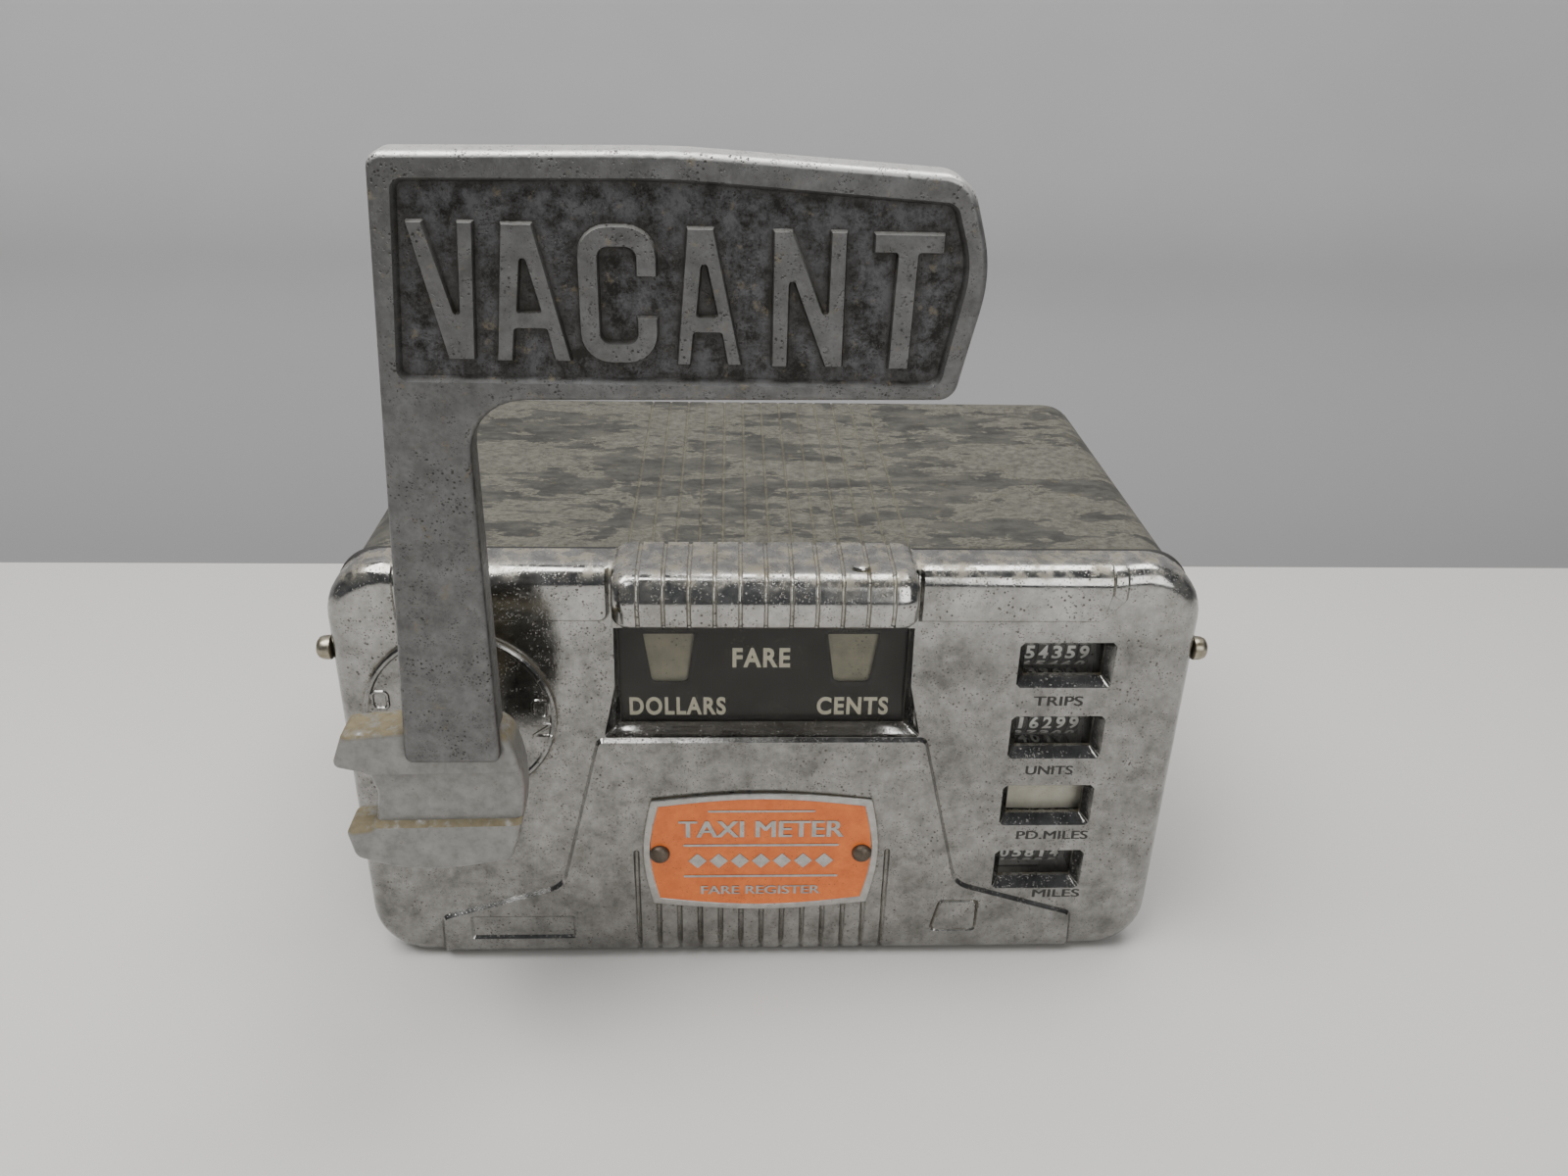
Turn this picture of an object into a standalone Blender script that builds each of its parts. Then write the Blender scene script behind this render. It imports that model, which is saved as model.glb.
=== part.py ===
"""Taxi meter: a cast front cover and a tub-shaped case around fare drums, trip counters and a turning flag.

Units are metres and +Z is up. The origin is the centre of the flat underside of the case. The front faces -Y.
"""

import math

import bmesh
import bpy
from mathutils import Matrix, Vector

# ---- Clearances ----
SEAT_GAP = 0.0003  # between two pieces that seat on each other
RUN_GAP = 0.0004  # radial gap round anything that turns
SLIDE_GAP = 0.0005  # round anything that slides

# ---- Front cover ----
COVER_WIDTH = 0.2286
COVER_HEIGHT = 0.1290
COVER_DEPTH = 0.0110
COVER_WALL = 0.0030
COVER_CORNER = 0.0160
COVER_EDGE = 0.0060
RELIEF = 0.0012  # how far the raised panels stand off the cover's face
FASCIA_X = -0.0013  # the fare window and all below it sit a little left of the middle

# ---- Case ----
COVER_LIP = 0.0038  # how far the cover stands out past the case at each side
COVER_RISE = 0.0005  # and above its top
CASE_DEPTH = 0.1225
CASE_WALL = 0.0025
CASE_CORNER = 0.0120
CASE_REAR_EDGE = 0.0060
GASKET_THICKNESS = 0.0024
GASKET_BAND = 0.0060
GASKET_LIP = 0.0025  # how far the gasket shows past the case at each side

# ---- Fare window ----
WINDOW_WIDTH = 0.0770
WINDOW_HEIGHT = 0.0395
WINDOW_DROP = 0.0095  # its top below the cover's top
LEDGE_DROP = 0.0032  # the ledge below the window
LEDGE_WIDTH = 0.0890
GLASS_DEPTH = 0.0045
GLASS_THICKNESS = 0.0016
GLASS_MARGIN = 0.0030  # how far glass and mask reach behind the cover
MASK_THICKNESS = 0.0012
APERTURE_DROP = 0.0135  # the fare apertures' top below the window's top
APERTURE_HEIGHT = 0.0150
APERTURE_WIDTH_LOW = 0.0096
APERTURE_WIDTH_HIGH = 0.0138
DOLLARS_OFFSET = -0.0253  # from the middle of the window
CENTS_OFFSET = 0.0241

# ---- Lamp hood ----
HOOD_WIDTH = 0.0774
HOOD_HEIGHT = 0.0150
HOOD_RISE = 0.0020  # above the cover's top
HOOD_REACH = 0.0120  # in front of the cover's face
HOOD_WALL = 0.0020
HOOD_ROUND = 0.0060
HOOD_PIN_INSET = 0.0150
HOOD_PIN_RADIUS = 0.0012
HOOD_PIN_LENGTH = 0.0060
BULB_RADIUS = 0.0030
BULB_LENGTH = 0.0200
LAMP_DROP = 0.0120  # the bulb below the case's top
LAMP_GAP = 0.0065  # the bulb behind the glass

# ---- Lower panel and name plate ----
PANEL_KNEE_X = 0.0590
PANEL_KNEE_Z = 0.0272
PANEL_FOOT_MARGIN = 0.0213  # from the cover's side
PANEL_FOOT_Z = 0.0165
PLATE_WIDTH = 0.0664
PLATE_HEIGHT = 0.0410
PLATE_Z = 0.0400
PLATE_THICKNESS = 0.0010
PLATE_BULGE = 0.0025
RIVET_SPACING = 0.0572
RIVET_HEAD = 0.0028
RIVET_HEAD_HEIGHT = 0.0016
RIVET_SHANK = 0.0014

# ---- Brow panels beside the hood ----
BROW_HEIGHT = 0.0155
BROW_RIGHT_MARGIN = 0.0208  # from the cover's side
BROW_CHAMFER = 0.0070

# ---- Counters ----
COUNTER_NAMES = ("trips", "units", "paid_miles", "miles")
COUNTER_INSET = 0.0350  # from the cover's right side
COUNTER_DROP = 0.0287  # the first counter below the cover's top
COUNTER_PITCH = 0.0229
COUNTER_WINDOW_WIDTH = 0.0215
COUNTER_WINDOW_HEIGHT = 0.0095
COUNTER_BEVEL = 0.0022
COUNTER_GLASS_MARGIN = 0.0020
WHEEL_COUNT = 5
WHEEL_RADIUS = 0.0094
WHEEL_PITCH = 0.00375
WHEEL_FRONT_GAP = 0.0037  # behind the glass
AXLE_RADIUS = 0.0010
COUNTER_SHEET = 0.0015

# ---- Flag, handle and shaft ----
SHAFT_INSET = 0.0326  # from the cover's left side
SHAFT_DROP = 0.0439  # below the cover's top
SHAFT_RADIUS = 0.0045
DISC_RADIUS = 0.02525
DISC_THICKNESS = 0.0015
HUB_FRONT = 0.0380  # hub's front in front of the cover's face
HUB_THICKNESS = 0.0110
HUB_LEFT = -0.0222
HUB_RIGHT = 0.0240
HUB_TOP = 0.0205
HUB_FOOT = -0.0205
HUB_NECK_RADIUS = 0.0110
HUB_MID_RECESS = 0.0012
CHANNEL_LOW = -0.0085  # finger channel, from the shaft's axis
CHANNEL_HIGH = 0.0072
CHANNEL_END = -0.0150
FLAG_THICKNESS = 0.0090
FLAG_PROUD = 0.0030  # foot of the stem in front of the hub
STEM_X = 0.0068  # the stem stands a little right of the shaft
STEM_FOOT_WIDTH = 0.0222
STEM_FOOT_Z = 0.0125  # above the shaft's axis
STEM_FILLET = 0.0120
PANEL_LOW_Z = 0.1008
PANEL_HIGH_Z = 0.1490
PANEL_LEFT = 0.0040
PANEL_RIGHT = 0.1175
PANEL_BULGE = 0.0030  # of the panel's right end
FLAG_RIM = 0.0048
FLAG_RECESS = 0.0018
FLAG_SCREW_RADIUS = 0.0014
FLAG_SCREW_RISE = 0.0035  # above the foot of the stem
HUB_PIN_RADIUS = 0.0013
SHAFT_REAR = 0.0440  # shaft's rear end behind the cover's face
BUSH_WALL = 0.0030

# ---- Mechanism ----
CHASSIS_SHEET = 0.0020
CHASSIS_Z = 0.0065
CHASSIS_FRONT = 0.0200
CHASSIS_REAR_GAP = 0.0165  # to the outside of the case's back
CHASSIS_SIDE_GAP = 0.0125  # to the outside of the case's sides
BRACKET_HALF = 0.0140
DRUM_RADIUS = 0.0210
DRUM_FRONT_GAP = 0.0089  # behind the shutter
DOLLARS_DRUM_WIDTH = 0.0150
CENTS_DRUM_WIDTH = 0.0066
DRUM_AXLE_RADIUS = 0.0025
UPRIGHT_GAP = 0.0030  # beside the drums and the ratchet wheel
UPRIGHT_DEPTH = 0.0300
UPRIGHT_RISE = 0.0120  # above the drum axle
AXLE_END = 0.0040
SHUTTER_THICKNESS = 0.0010
SHUTTER_LAP = 0.0015  # past each edge of an aperture
SHUTTER_BAR = 0.0050
RATCHET_OFFSET = 0.0142  # right of the cents aperture
RATCHET_RADIUS = 0.0150
RATCHET_TEETH = 10
RATCHET_WIDTH = 0.0030
CAM_RADIUS = 0.0120
CAM_THICKNESS = 0.0060
CAM_DEPTH = 0.0200
CAM_NOTCH = 0.0020
LEVER_WIDTH = 0.0070
LEVER_DROP = 0.0250  # its pivot below the shaft
STUD_RADIUS = 0.0016
SOLENOID_REAR = 0.0310  # behind the drum axle
SOLENOID_RADIUS = 0.0120
SOLENOID_LENGTH = 0.0340
SOLENOID_FOOT = 0.0050
PLUNGER_RADIUS = 0.0040
PLUNGER_TRAVEL = 0.0050
PLUNGER_REACH = 0.0120  # the pawl's stud above the solenoid
TONGUE_THICKNESS = 0.0020
PAWL_STUD_RADIUS = 0.0012
PAWL_THICKNESS = 0.0018
MOTOR_RADIUS = 0.0180
MOTOR_LENGTH = 0.0300
MOTOR_X = -0.0300
MOTOR_REAR_GAP = 0.0250  # its middle in front of the chassis's rear edge

# ---- Screws and socket ----
SEAL_DROP = 0.0270  # below the cover's top
SEAL_DEPTH = 0.0066
SEAL_HEAD_RADIUS = 0.0033
SEAL_HEAD_LENGTH = 0.0042
SEAL_SHANK_RADIUS = 0.0016
SEAL_WIRE_RADIUS = 0.0006
CASE_SCREW_DEPTH = 0.0240
CASE_SCREW_HEAD = 0.0030
CASE_SCREW_HEIGHT = 0.0024
SOCKET_INSET = 0.0525  # from the case's right side
SOCKET_Z = 0.0400
SOCKET_FLANGE = 0.0320
SOCKET_FLANGE_THICKNESS = 0.0025
SOCKET_RADIUS = 0.0120
SOCKET_BORE = 0.0095
SOCKET_LENGTH = 0.0120
SOCKET_SINK = 0.0080  # the barrel's length inside the case
SOCKET_WALL = 0.0010  # of the barrel inside the case
SOCKET_PINS = 5
PIN_RADIUS = 0.0010

# ---- Places worked out from the sizes above ----
CASE_WIDTH = COVER_WIDTH - 2 * COVER_LIP
CASE_HEIGHT = COVER_HEIGHT - COVER_RISE
FACE_Y = -(COVER_DEPTH + GASKET_THICKNESS + CASE_DEPTH + 2 * SEAT_GAP) / 2
GASKET_Y = FACE_Y + COVER_DEPTH + SEAT_GAP
CASE_Y = GASKET_Y + GASKET_THICKNESS + SEAT_GAP
BACK_Y = CASE_Y + CASE_DEPTH
GLASS_Y = FACE_Y + GLASS_DEPTH
GLASS_BACK_Y = GLASS_Y + GLASS_THICKNESS
MASK_Y = GLASS_BACK_Y + SEAT_GAP
SHUTTER_Y = MASK_Y + MASK_THICKNESS + SLIDE_GAP
DRUM_Y = SHUTTER_Y + SHUTTER_THICKNESS + DRUM_FRONT_GAP + DRUM_RADIUS
WHEEL_Y = GLASS_BACK_Y + WHEEL_FRONT_GAP + WHEEL_RADIUS
SOLENOID_Y = DRUM_Y + SOLENOID_REAR
CHASSIS_REAR_Y = BACK_Y - CHASSIS_REAR_GAP
HOOD_HIGH = COVER_HEIGHT + HOOD_RISE
HOOD_LOW = HOOD_HIGH - HOOD_HEIGHT
HOOD_PIN_X = FASCIA_X + HOOD_WIDTH / 2 - HOOD_PIN_INSET
HOOD_PIN_Y = FACE_Y - HOOD_REACH / 3
WINDOW_HIGH = COVER_HEIGHT - WINDOW_DROP
WINDOW_LOW = WINDOW_HIGH - WINDOW_HEIGHT
LEDGE_Z = WINDOW_LOW - LEDGE_DROP
APERTURE_HIGH = WINDOW_HIGH - APERTURE_DROP
APERTURE_LOW = APERTURE_HIGH - APERTURE_HEIGHT
DRUM_Z = (APERTURE_LOW + APERTURE_HIGH) / 2
DOLLARS_X = FASCIA_X + DOLLARS_OFFSET
CENTS_X = FASCIA_X + CENTS_OFFSET
RATCHET_X = CENTS_X + RATCHET_OFFSET
UPRIGHT_LEFT_X = DOLLARS_X - DOLLARS_DRUM_WIDTH / 2 - UPRIGHT_GAP - CHASSIS_SHEET
UPRIGHT_RIGHT_X = RATCHET_X + RATCHET_WIDTH / 2 + UPRIGHT_GAP
BROW_LOW = COVER_HEIGHT - BROW_HEIGHT
BROW_RIGHT_END = COVER_WIDTH / 2 - BROW_RIGHT_MARGIN
PANEL_FOOT_X = COVER_WIDTH / 2 - PANEL_FOOT_MARGIN
COUNTER_X = COVER_WIDTH / 2 - COUNTER_INSET
COUNTER_TOP_Z = COVER_HEIGHT - COUNTER_DROP
SHAFT_X = SHAFT_INSET - COVER_WIDTH / 2
SHAFT_Z = COVER_HEIGHT - SHAFT_DROP
SEAL_Z = COVER_HEIGHT - SEAL_DROP
SOCKET_X = CASE_WIDTH / 2 - SOCKET_INSET
CHASSIS_HALF_WIDTH = CASE_WIDTH / 2 - CHASSIS_SIDE_GAP
CHASSIS_TOP = CHASSIS_Z + CHASSIS_SHEET
BRACKET_Y = FACE_Y + SHAFT_REAR - 2 * CHASSIS_SHEET
LEVER_PIVOT_X = SHAFT_X - CAM_RADIUS - LEVER_WIDTH
LEVER_PIVOT_Z = SHAFT_Z - LEVER_DROP
SOLENOID_Z = CHASSIS_TOP + SEAT_GAP
PLUNGER_TOP = SOLENOID_Z + SOLENOID_LENGTH + PLUNGER_REACH
LAMP_Y = GLASS_BACK_Y + LAMP_GAP
LAMP_Z = CASE_HEIGHT - LAMP_DROP
# Places measured from the shaft's axis and the cover's face, for what turns with the flag.
FLAG_Y = -(HUB_FRONT + FLAG_PROUD)
HUB_BACK_Y = -(HUB_FRONT - HUB_THICKNESS)
HUB_PIN_Y = HUB_BACK_Y / 2
FLAG_SCREW_SPOT = (STEM_X, STEM_FOOT_Z + FLAG_SCREW_RISE)

THROUGH = 0.5  # half-length of a cutter that goes right through
ROUND_STEPS = 24


# ---- Helpers ----
def material(name, color, roughness, metallic):
    """One Principled material for each finish."""
    made = bpy.data.materials.get(name)
    if made:
        return made
    made = bpy.data.materials.new(name)
    made.use_nodes = True
    shader = made.node_tree.nodes["Principled BSDF"]
    shader.inputs["Base Color"].default_value = (*color, 1)
    shader.inputs["Roughness"].default_value = roughness
    shader.inputs["Metallic"].default_value = metallic
    made.diffuse_color = (*color, 1)
    return made


FINISHES = {
    "chrome": ((0.62, 0.62, 0.60), 0.25, 1.0),
    "cast_aluminium": ((0.42, 0.42, 0.40), 0.50, 0.9),
    "silver_paint": ((0.50, 0.49, 0.46), 0.50, 0.6),
    "olive_paint": ((0.23, 0.22, 0.18), 0.70, 0.1),
    "rubber": ((0.03, 0.03, 0.03), 0.80, 0.0),
    "orange_enamel": ((0.80, 0.20, 0.05), 0.35, 0.1),
    "steel": ((0.45, 0.45, 0.44), 0.40, 1.0),
    "brass": ((0.60, 0.47, 0.20), 0.40, 1.0),
    "black_paint": ((0.03, 0.03, 0.03), 0.60, 0.0),
    "drab_paint": ((0.30, 0.28, 0.21), 0.60, 0.0),
    "black_plastic": ((0.03, 0.03, 0.03), 0.45, 0.0),
    "glass": ((0.80, 0.85, 0.82), 0.05, 0.0),
}


def finish(obj, name):
    obj.data.materials.append(material(name, *FINISHES[name]))
    return obj


def add(name, mesh_or_bm, place=(0, 0, 0), parent=None):
    """An object from a bmesh or a mesh, at a place under a parent."""
    if isinstance(mesh_or_bm, bmesh.types.BMesh):
        bmesh.ops.recalc_face_normals(mesh_or_bm, faces=mesh_or_bm.faces)
        mesh = bpy.data.meshes.new(name)
        mesh_or_bm.to_mesh(mesh)
        mesh_or_bm.free()
    else:
        mesh = mesh_or_bm
    mesh.shade_smooth()
    mesh.set_sharp_from_angle(angle=math.radians(30))
    obj = bpy.data.objects.new(name, mesh)
    obj.location = place
    obj.parent = parent
    bpy.context.scene.collection.objects.link(obj)
    return obj


def pivot(name, place, parent=None):
    """An empty on a joint's axis."""
    empty = bpy.data.objects.new(name, None)
    empty.empty_display_size = 0.01
    empty.location = place
    empty.parent = parent
    bpy.context.scene.collection.objects.link(empty)
    return empty


def hide(obj):
    obj.hide_render = True
    obj.display_type = "WIRE"
    return obj


def combine(obj, other, operation):
    """A Boolean with a hidden second shape, placed in the same frame as the first."""
    hide(other)
    step = obj.modifiers.new(operation.lower() + "_" + other.name, "BOOLEAN")
    step.operation = operation
    step.solver = "EXACT"
    step.object = other
    return obj


def cut(obj, other):
    return combine(obj, other, "DIFFERENCE")


def weld(obj, other):
    return combine(obj, other, "UNION")


def outline(corners, steps=4):
    """A closed line through corners (u, v, radius), each corner with a radius turned into an arc."""
    line = []
    for index, (u, v, radius) in enumerate(corners):
        here = Vector((u, v))
        if radius <= 0:
            line.append(here)
            continue
        before = Vector(corners[index - 1][:2]) - here
        after = Vector(corners[(index + 1) % len(corners)][:2]) - here
        before.normalize()
        after.normalize()
        half = before.angle(after) / 2
        reach = radius / math.tan(half)
        centre = here + (before + after).normalized() * (radius / math.sin(half))
        first = here + before * reach - centre
        last = here + after * reach - centre
        sweep = first.angle_signed(last)
        for step in range(steps + 1):
            line.append(centre + rotated(first, -sweep * step / steps))
    return line


def rotated(vector, angle):
    return Matrix.Rotation(angle, 2) @ vector


def rectangle(width, low, high, radius, steps=4, middle=0.0):
    """Corners of an upright rectangle, as an outline."""
    left = middle - width / 2
    right = middle + width / 2
    corners = [(left, low, radius), (right, low, radius), (right, high, radius), (left, high, radius)]
    return outline(corners, steps)


def circle(radius, steps=ROUND_STEPS, centre=(0, 0)):
    turns = [2 * math.pi * step / steps for step in range(steps)]
    return [Vector((centre[0] + radius * math.cos(t), centre[1] + radius * math.sin(t))) for t in turns]


AXES = {
    "Y": lambda u, v, along: (u, along, v),
    "X": lambda u, v, along: (along, u, v),
    "Z": lambda u, v, along: (u, v, along),
}


def prism(line, start, end, axis="Y", holes=()):
    """A bmesh: an outline pulled from start to end along an axis, with straight holes through it."""
    bm = bmesh.new()
    place = AXES[axis]
    loops = [line, *holes]
    ends = []
    for along in (start, end):
        edges = []
        for loop in loops:
            verts = [bm.verts.new(place(p[0], p[1], along)) for p in loop]
            edges += [bm.edges.new((verts[i - 1], verts[i])) for i in range(len(verts))]
        ends.append(edges)
    for edge_low, edge_high in zip(*ends):
        a, b = edge_low.verts
        c, d = edge_high.verts
        bm.faces.new((a, b, d, c))
    for edges in ends:
        bmesh.ops.triangle_fill(bm, use_beauty=True, edges=edges)
    return bm


def stack(lines, axis="Y"):
    """A bmesh through equal-length outlines, each (line, along), closed at both ends."""
    bm = bmesh.new()
    place = AXES[axis]
    rings = [[bm.verts.new(place(p[0], p[1], along)) for p in line] for line, along in lines]
    for lower, upper in zip(rings, rings[1:]):
        for i in range(len(lower)):
            bm.faces.new((lower[i - 1], lower[i], upper[i], upper[i - 1]))
    bm.faces.new(rings[0])
    bm.faces.new(rings[-1])
    return bm


def turned(profile, axis="Y", steps=ROUND_STEPS):
    """A bmesh turned round an axis from a profile of (radius, along), which starts and ends on the axis."""
    bm = bmesh.new()
    place = AXES[axis]
    rings = []
    for radius, along in profile:
        count = 1 if radius == 0 else steps
        turns = [2 * math.pi * step / count for step in range(count)]
        ring = [bm.verts.new(place(radius * math.cos(t), radius * math.sin(t), along)) for t in turns]
        rings.append(ring)
    for lower, upper in zip(rings, rings[1:]):
        for i in range(steps):
            corners = [lower[(i - 1) % len(lower)], lower[i % len(lower)]]
            corners += [upper[i % len(upper)], upper[(i - 1) % len(upper)]]
            bm.faces.new(list(dict.fromkeys(corners)))
    return bm


def ring(outer, inner, start, end, axis="Y", steps=ROUND_STEPS):
    return prism(circle(outer, steps), start, end, axis, holes=(circle(inner, steps),))


def block(low, high):
    """A bmesh box between two corners."""
    size = Vector(high) - Vector(low)
    middle = (Vector(high) + Vector(low)) / 2
    bm = bmesh.new()
    bmesh.ops.create_cube(bm, size=1, matrix=Matrix.Translation(middle) @ Matrix.Diagonal((*size, 1)))
    return bm


# ---- Front cover and what is fixed to it ----
def cover_line(inset):
    radius = max(COVER_CORNER - inset, 0.001)
    return rectangle(COVER_WIDTH - 2 * inset, SEAT_GAP + inset, COVER_HEIGHT - inset, radius)


LAST_ROW = len(COUNTER_NAMES) - 1


def counter_z(row):
    return COUNTER_TOP_Z - row * COUNTER_PITCH


def front_cover():
    steps = 3
    lines = []
    for step in range(steps + 1):
        angle = math.pi / 2 * step / steps
        inset = COVER_EDGE * (1 - math.sin(angle))
        lines.append((cover_line(inset), FACE_Y + COVER_EDGE * (1 - math.cos(angle))))
    lines.append((cover_line(0), FACE_Y + COVER_DEPTH))
    cover = add("front_cover", stack(lines))
    weld(cover, add("panel_blank", lower_panel()))
    for blank in brow_blanks():
        weld(cover, blank)
    hollow = prism(cover_line(COVER_WALL), FACE_Y + COVER_WALL, FACE_Y + 2 * COVER_DEPTH)
    cut(cover, add("cover_hollow", hollow))
    window = prism(
        rectangle(WINDOW_WIDTH, WINDOW_LOW, WINDOW_HIGH, 0, middle=FASCIA_X),
        FACE_Y - COVER_DEPTH,
        FACE_Y + COVER_DEPTH,
    )
    cut(cover, add("window_cutter", window))
    for row, name in enumerate(COUNTER_NAMES):
        cut(cover, add("opening_" + name, counter_opening(row)))
    bore = SHAFT_RADIUS + BUSH_WALL + RUN_GAP + SEAT_GAP
    hole = prism(circle(bore, centre=(SHAFT_X, SHAFT_Z)), FACE_Y - COVER_DEPTH, FACE_Y + COVER_DEPTH)
    cut(cover, add("bush_hole", hole))
    for side in (-1, 1):
        start = side * (COVER_WIDTH / 2 - 2 * COVER_WALL)
        end = side * (COVER_WIDTH / 2 + COVER_WALL)
        hole = prism(circle(SEAL_SHANK_RADIUS + SEAT_GAP, 8), start, end, "X")
        cutter = add("seal_hole_right" if side > 0 else "seal_hole_left", hole)
        cutter.location = (0, FACE_Y + SEAL_DEPTH, SEAL_Z)
        cut(cover, cutter)
        rivet = prism(circle(RIVET_SHANK + SEAT_GAP, 8), FACE_Y - COVER_DEPTH, FACE_Y + COVER_DEPTH)
        cutter = add("rivet_hole_right" if side > 0 else "rivet_hole_left", rivet)
        cutter.location = (FASCIA_X + side * RIVET_SPACING / 2, 0, PLATE_Z)
        cut(cover, cutter)
    return finish(cover, "chrome")


def lower_panel():
    """The raised panel that flares from the window's ledge to the foot of the cover."""
    half = LEDGE_WIDTH / 2
    foot = SEAT_GAP + COVER_EDGE
    corners = [
        (FASCIA_X - PANEL_FOOT_X, foot, 0),
        (FASCIA_X + PANEL_FOOT_X, foot, 0),
        (FASCIA_X + PANEL_FOOT_X, PANEL_FOOT_Z, 0),
        (FASCIA_X + PANEL_KNEE_X, PANEL_KNEE_Z, 0.005),
        (FASCIA_X + half, LEDGE_Z, 0.003),
        (FASCIA_X - half, LEDGE_Z, 0.003),
        (FASCIA_X - PANEL_KNEE_X, PANEL_KNEE_Z, 0.005),
        (FASCIA_X - PANEL_FOOT_X, PANEL_FOOT_Z, 0),
    ]
    return prism(outline(corners, 2), FACE_Y - RELIEF, FACE_Y + COVER_WALL / 2)


def brow_blanks():
    """The two raised panels beside the hood; the right one ends in a chamfer."""
    top = COVER_HEIGHT - COVER_EDGE
    inner = HOOD_WIDTH / 2
    left_end = -COVER_WIDTH / 2 + COVER_EDGE + COVER_CORNER
    left = [(left_end, BROW_LOW, 0), (FASCIA_X - inner, BROW_LOW, 0.003)]
    left += [(FASCIA_X - inner, top, 0), (left_end, top, 0)]
    right = [(FASCIA_X + inner, BROW_LOW, 0), (BROW_RIGHT_END - BROW_CHAMFER, BROW_LOW, 0.002)]
    right += [(BROW_RIGHT_END, BROW_LOW + 2 * BROW_CHAMFER / 3, 0)]
    right += [(BROW_RIGHT_END, top, 0), (FASCIA_X + inner, top, 0)]
    made = []
    for name, corners in (("brow_left", left), ("brow_right", right)):
        made.append(add(name, prism(outline(corners, 2), FACE_Y - RELIEF, FACE_Y + COVER_WALL / 2)))
    return made


def counter_opening(row):
    """A window that narrows from the cover's face to its inside."""
    z = counter_z(row)
    outer_half = COUNTER_WINDOW_HEIGHT / 2 + COUNTER_BEVEL
    inner_half = COUNTER_WINDOW_HEIGHT / 2
    outer_width = COUNTER_WINDOW_WIDTH + 2 * COUNTER_BEVEL
    outer = rectangle(outer_width, z - outer_half, z + outer_half, 0, middle=COUNTER_X)
    inner = rectangle(COUNTER_WINDOW_WIDTH, z - inner_half, z + inner_half, 0, middle=COUNTER_X)
    slope_end = FACE_Y + COVER_WALL
    return stack([(outer, FACE_Y - SEAT_GAP), (inner, slope_end), (inner, FACE_Y + COVER_DEPTH)])


def hood_line():
    """The hood's side view, as (y, z): flat underneath, bulging forward, and reaching back to the case."""
    back = FACE_Y + COVER_DEPTH
    front = FACE_Y - HOOD_REACH
    seat = FACE_Y - SEAT_GAP - RELIEF
    corners = [
        (back, HOOD_HIGH, 0),
        (front + HOOD_ROUND / 2, HOOD_HIGH, HOOD_ROUND),
        (front, (HOOD_HIGH + HOOD_LOW) / 2, HOOD_ROUND),
        (front + HOOD_ROUND / 3, HOOD_LOW, HOOD_ROUND / 2),
        (seat, HOOD_LOW, 0),
        (seat, COVER_HEIGHT + SEAT_GAP, 0),
        (back, COVER_HEIGHT + SEAT_GAP, 0),
    ]
    return outline(corners, 3)


def lamp_hood():
    half = HOOD_WIDTH / 2
    hood = add("lamp_hood", prism(hood_line(), FASCIA_X - half, FASCIA_X + half, "X"))
    back = FACE_Y - SEAT_GAP - RELIEF
    front = FACE_Y - HOOD_REACH + HOOD_WALL
    inside = block(
        (FASCIA_X - half + HOOD_WALL, front, HOOD_LOW - HOOD_WALL),
        (FASCIA_X + half - HOOD_WALL, back + HOOD_WALL, COVER_HEIGHT - HOOD_WALL),
    )
    cut(hood, add("hood_hollow", inside))
    bore = circle(HOOD_PIN_RADIUS + SEAT_GAP, 8, centre=(HOOD_PIN_X, HOOD_PIN_Y))
    hole = prism(bore, HOOD_LOW, HOOD_HIGH + HOOD_WALL, "Z")
    cut(hood, add("pin_hole", hole))
    return finish(hood, "chrome")


def hood_pin():
    """Holds the hood to the cover; its head shows on the hood's top."""
    head = HOOD_PIN_RADIUS * 1.5
    profile = [
        (0, -HOOD_PIN_LENGTH),
        (HOOD_PIN_RADIUS, -HOOD_PIN_LENGTH),
        (HOOD_PIN_RADIUS, SEAT_GAP),
        (head, SEAT_GAP),
        (HOOD_PIN_RADIUS, head / 2),
        (0, head / 2 + SEAT_GAP),
    ]
    pin = add("hood_pin", turned(profile, "Z", 8), (HOOD_PIN_X, HOOD_PIN_Y, HOOD_HIGH))
    return finish(pin, "chrome")


def plate_line():
    """A rectangle whose four sides bow outwards."""
    half_width = PLATE_WIDTH / 2 - PLATE_BULGE
    half_height = PLATE_HEIGHT / 2 - PLATE_BULGE
    corners = [Vector((half_width * u, half_height * v)) for u, v in ((1, -1), (1, 1), (-1, 1), (-1, -1))]
    outwards = [Vector(side) for side in ((1, 0), (0, 1), (-1, 0), (0, -1))]
    middle = Vector((FASCIA_X, PLATE_Z))
    steps = 6
    line = []
    for index, out in enumerate(outwards):
        end = corners[(index + 1) % 4]
        for step in range(steps):
            bow = PLATE_BULGE * math.sin(math.pi * step / steps)
            line.append(middle + corners[index].lerp(end, step / steps) + out * bow)
    return line


def name_plate():
    front = FACE_Y - RELIEF - SEAT_GAP
    holes = []
    for side in (-1, 1):
        holes.append(circle(RIVET_SHANK + SEAT_GAP, 8, centre=(FASCIA_X + side * RIVET_SPACING / 2, PLATE_Z)))
    plate = add("name_plate", prism(plate_line(), front - PLATE_THICKNESS, front, holes=holes))
    return finish(plate, "orange_enamel")


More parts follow.
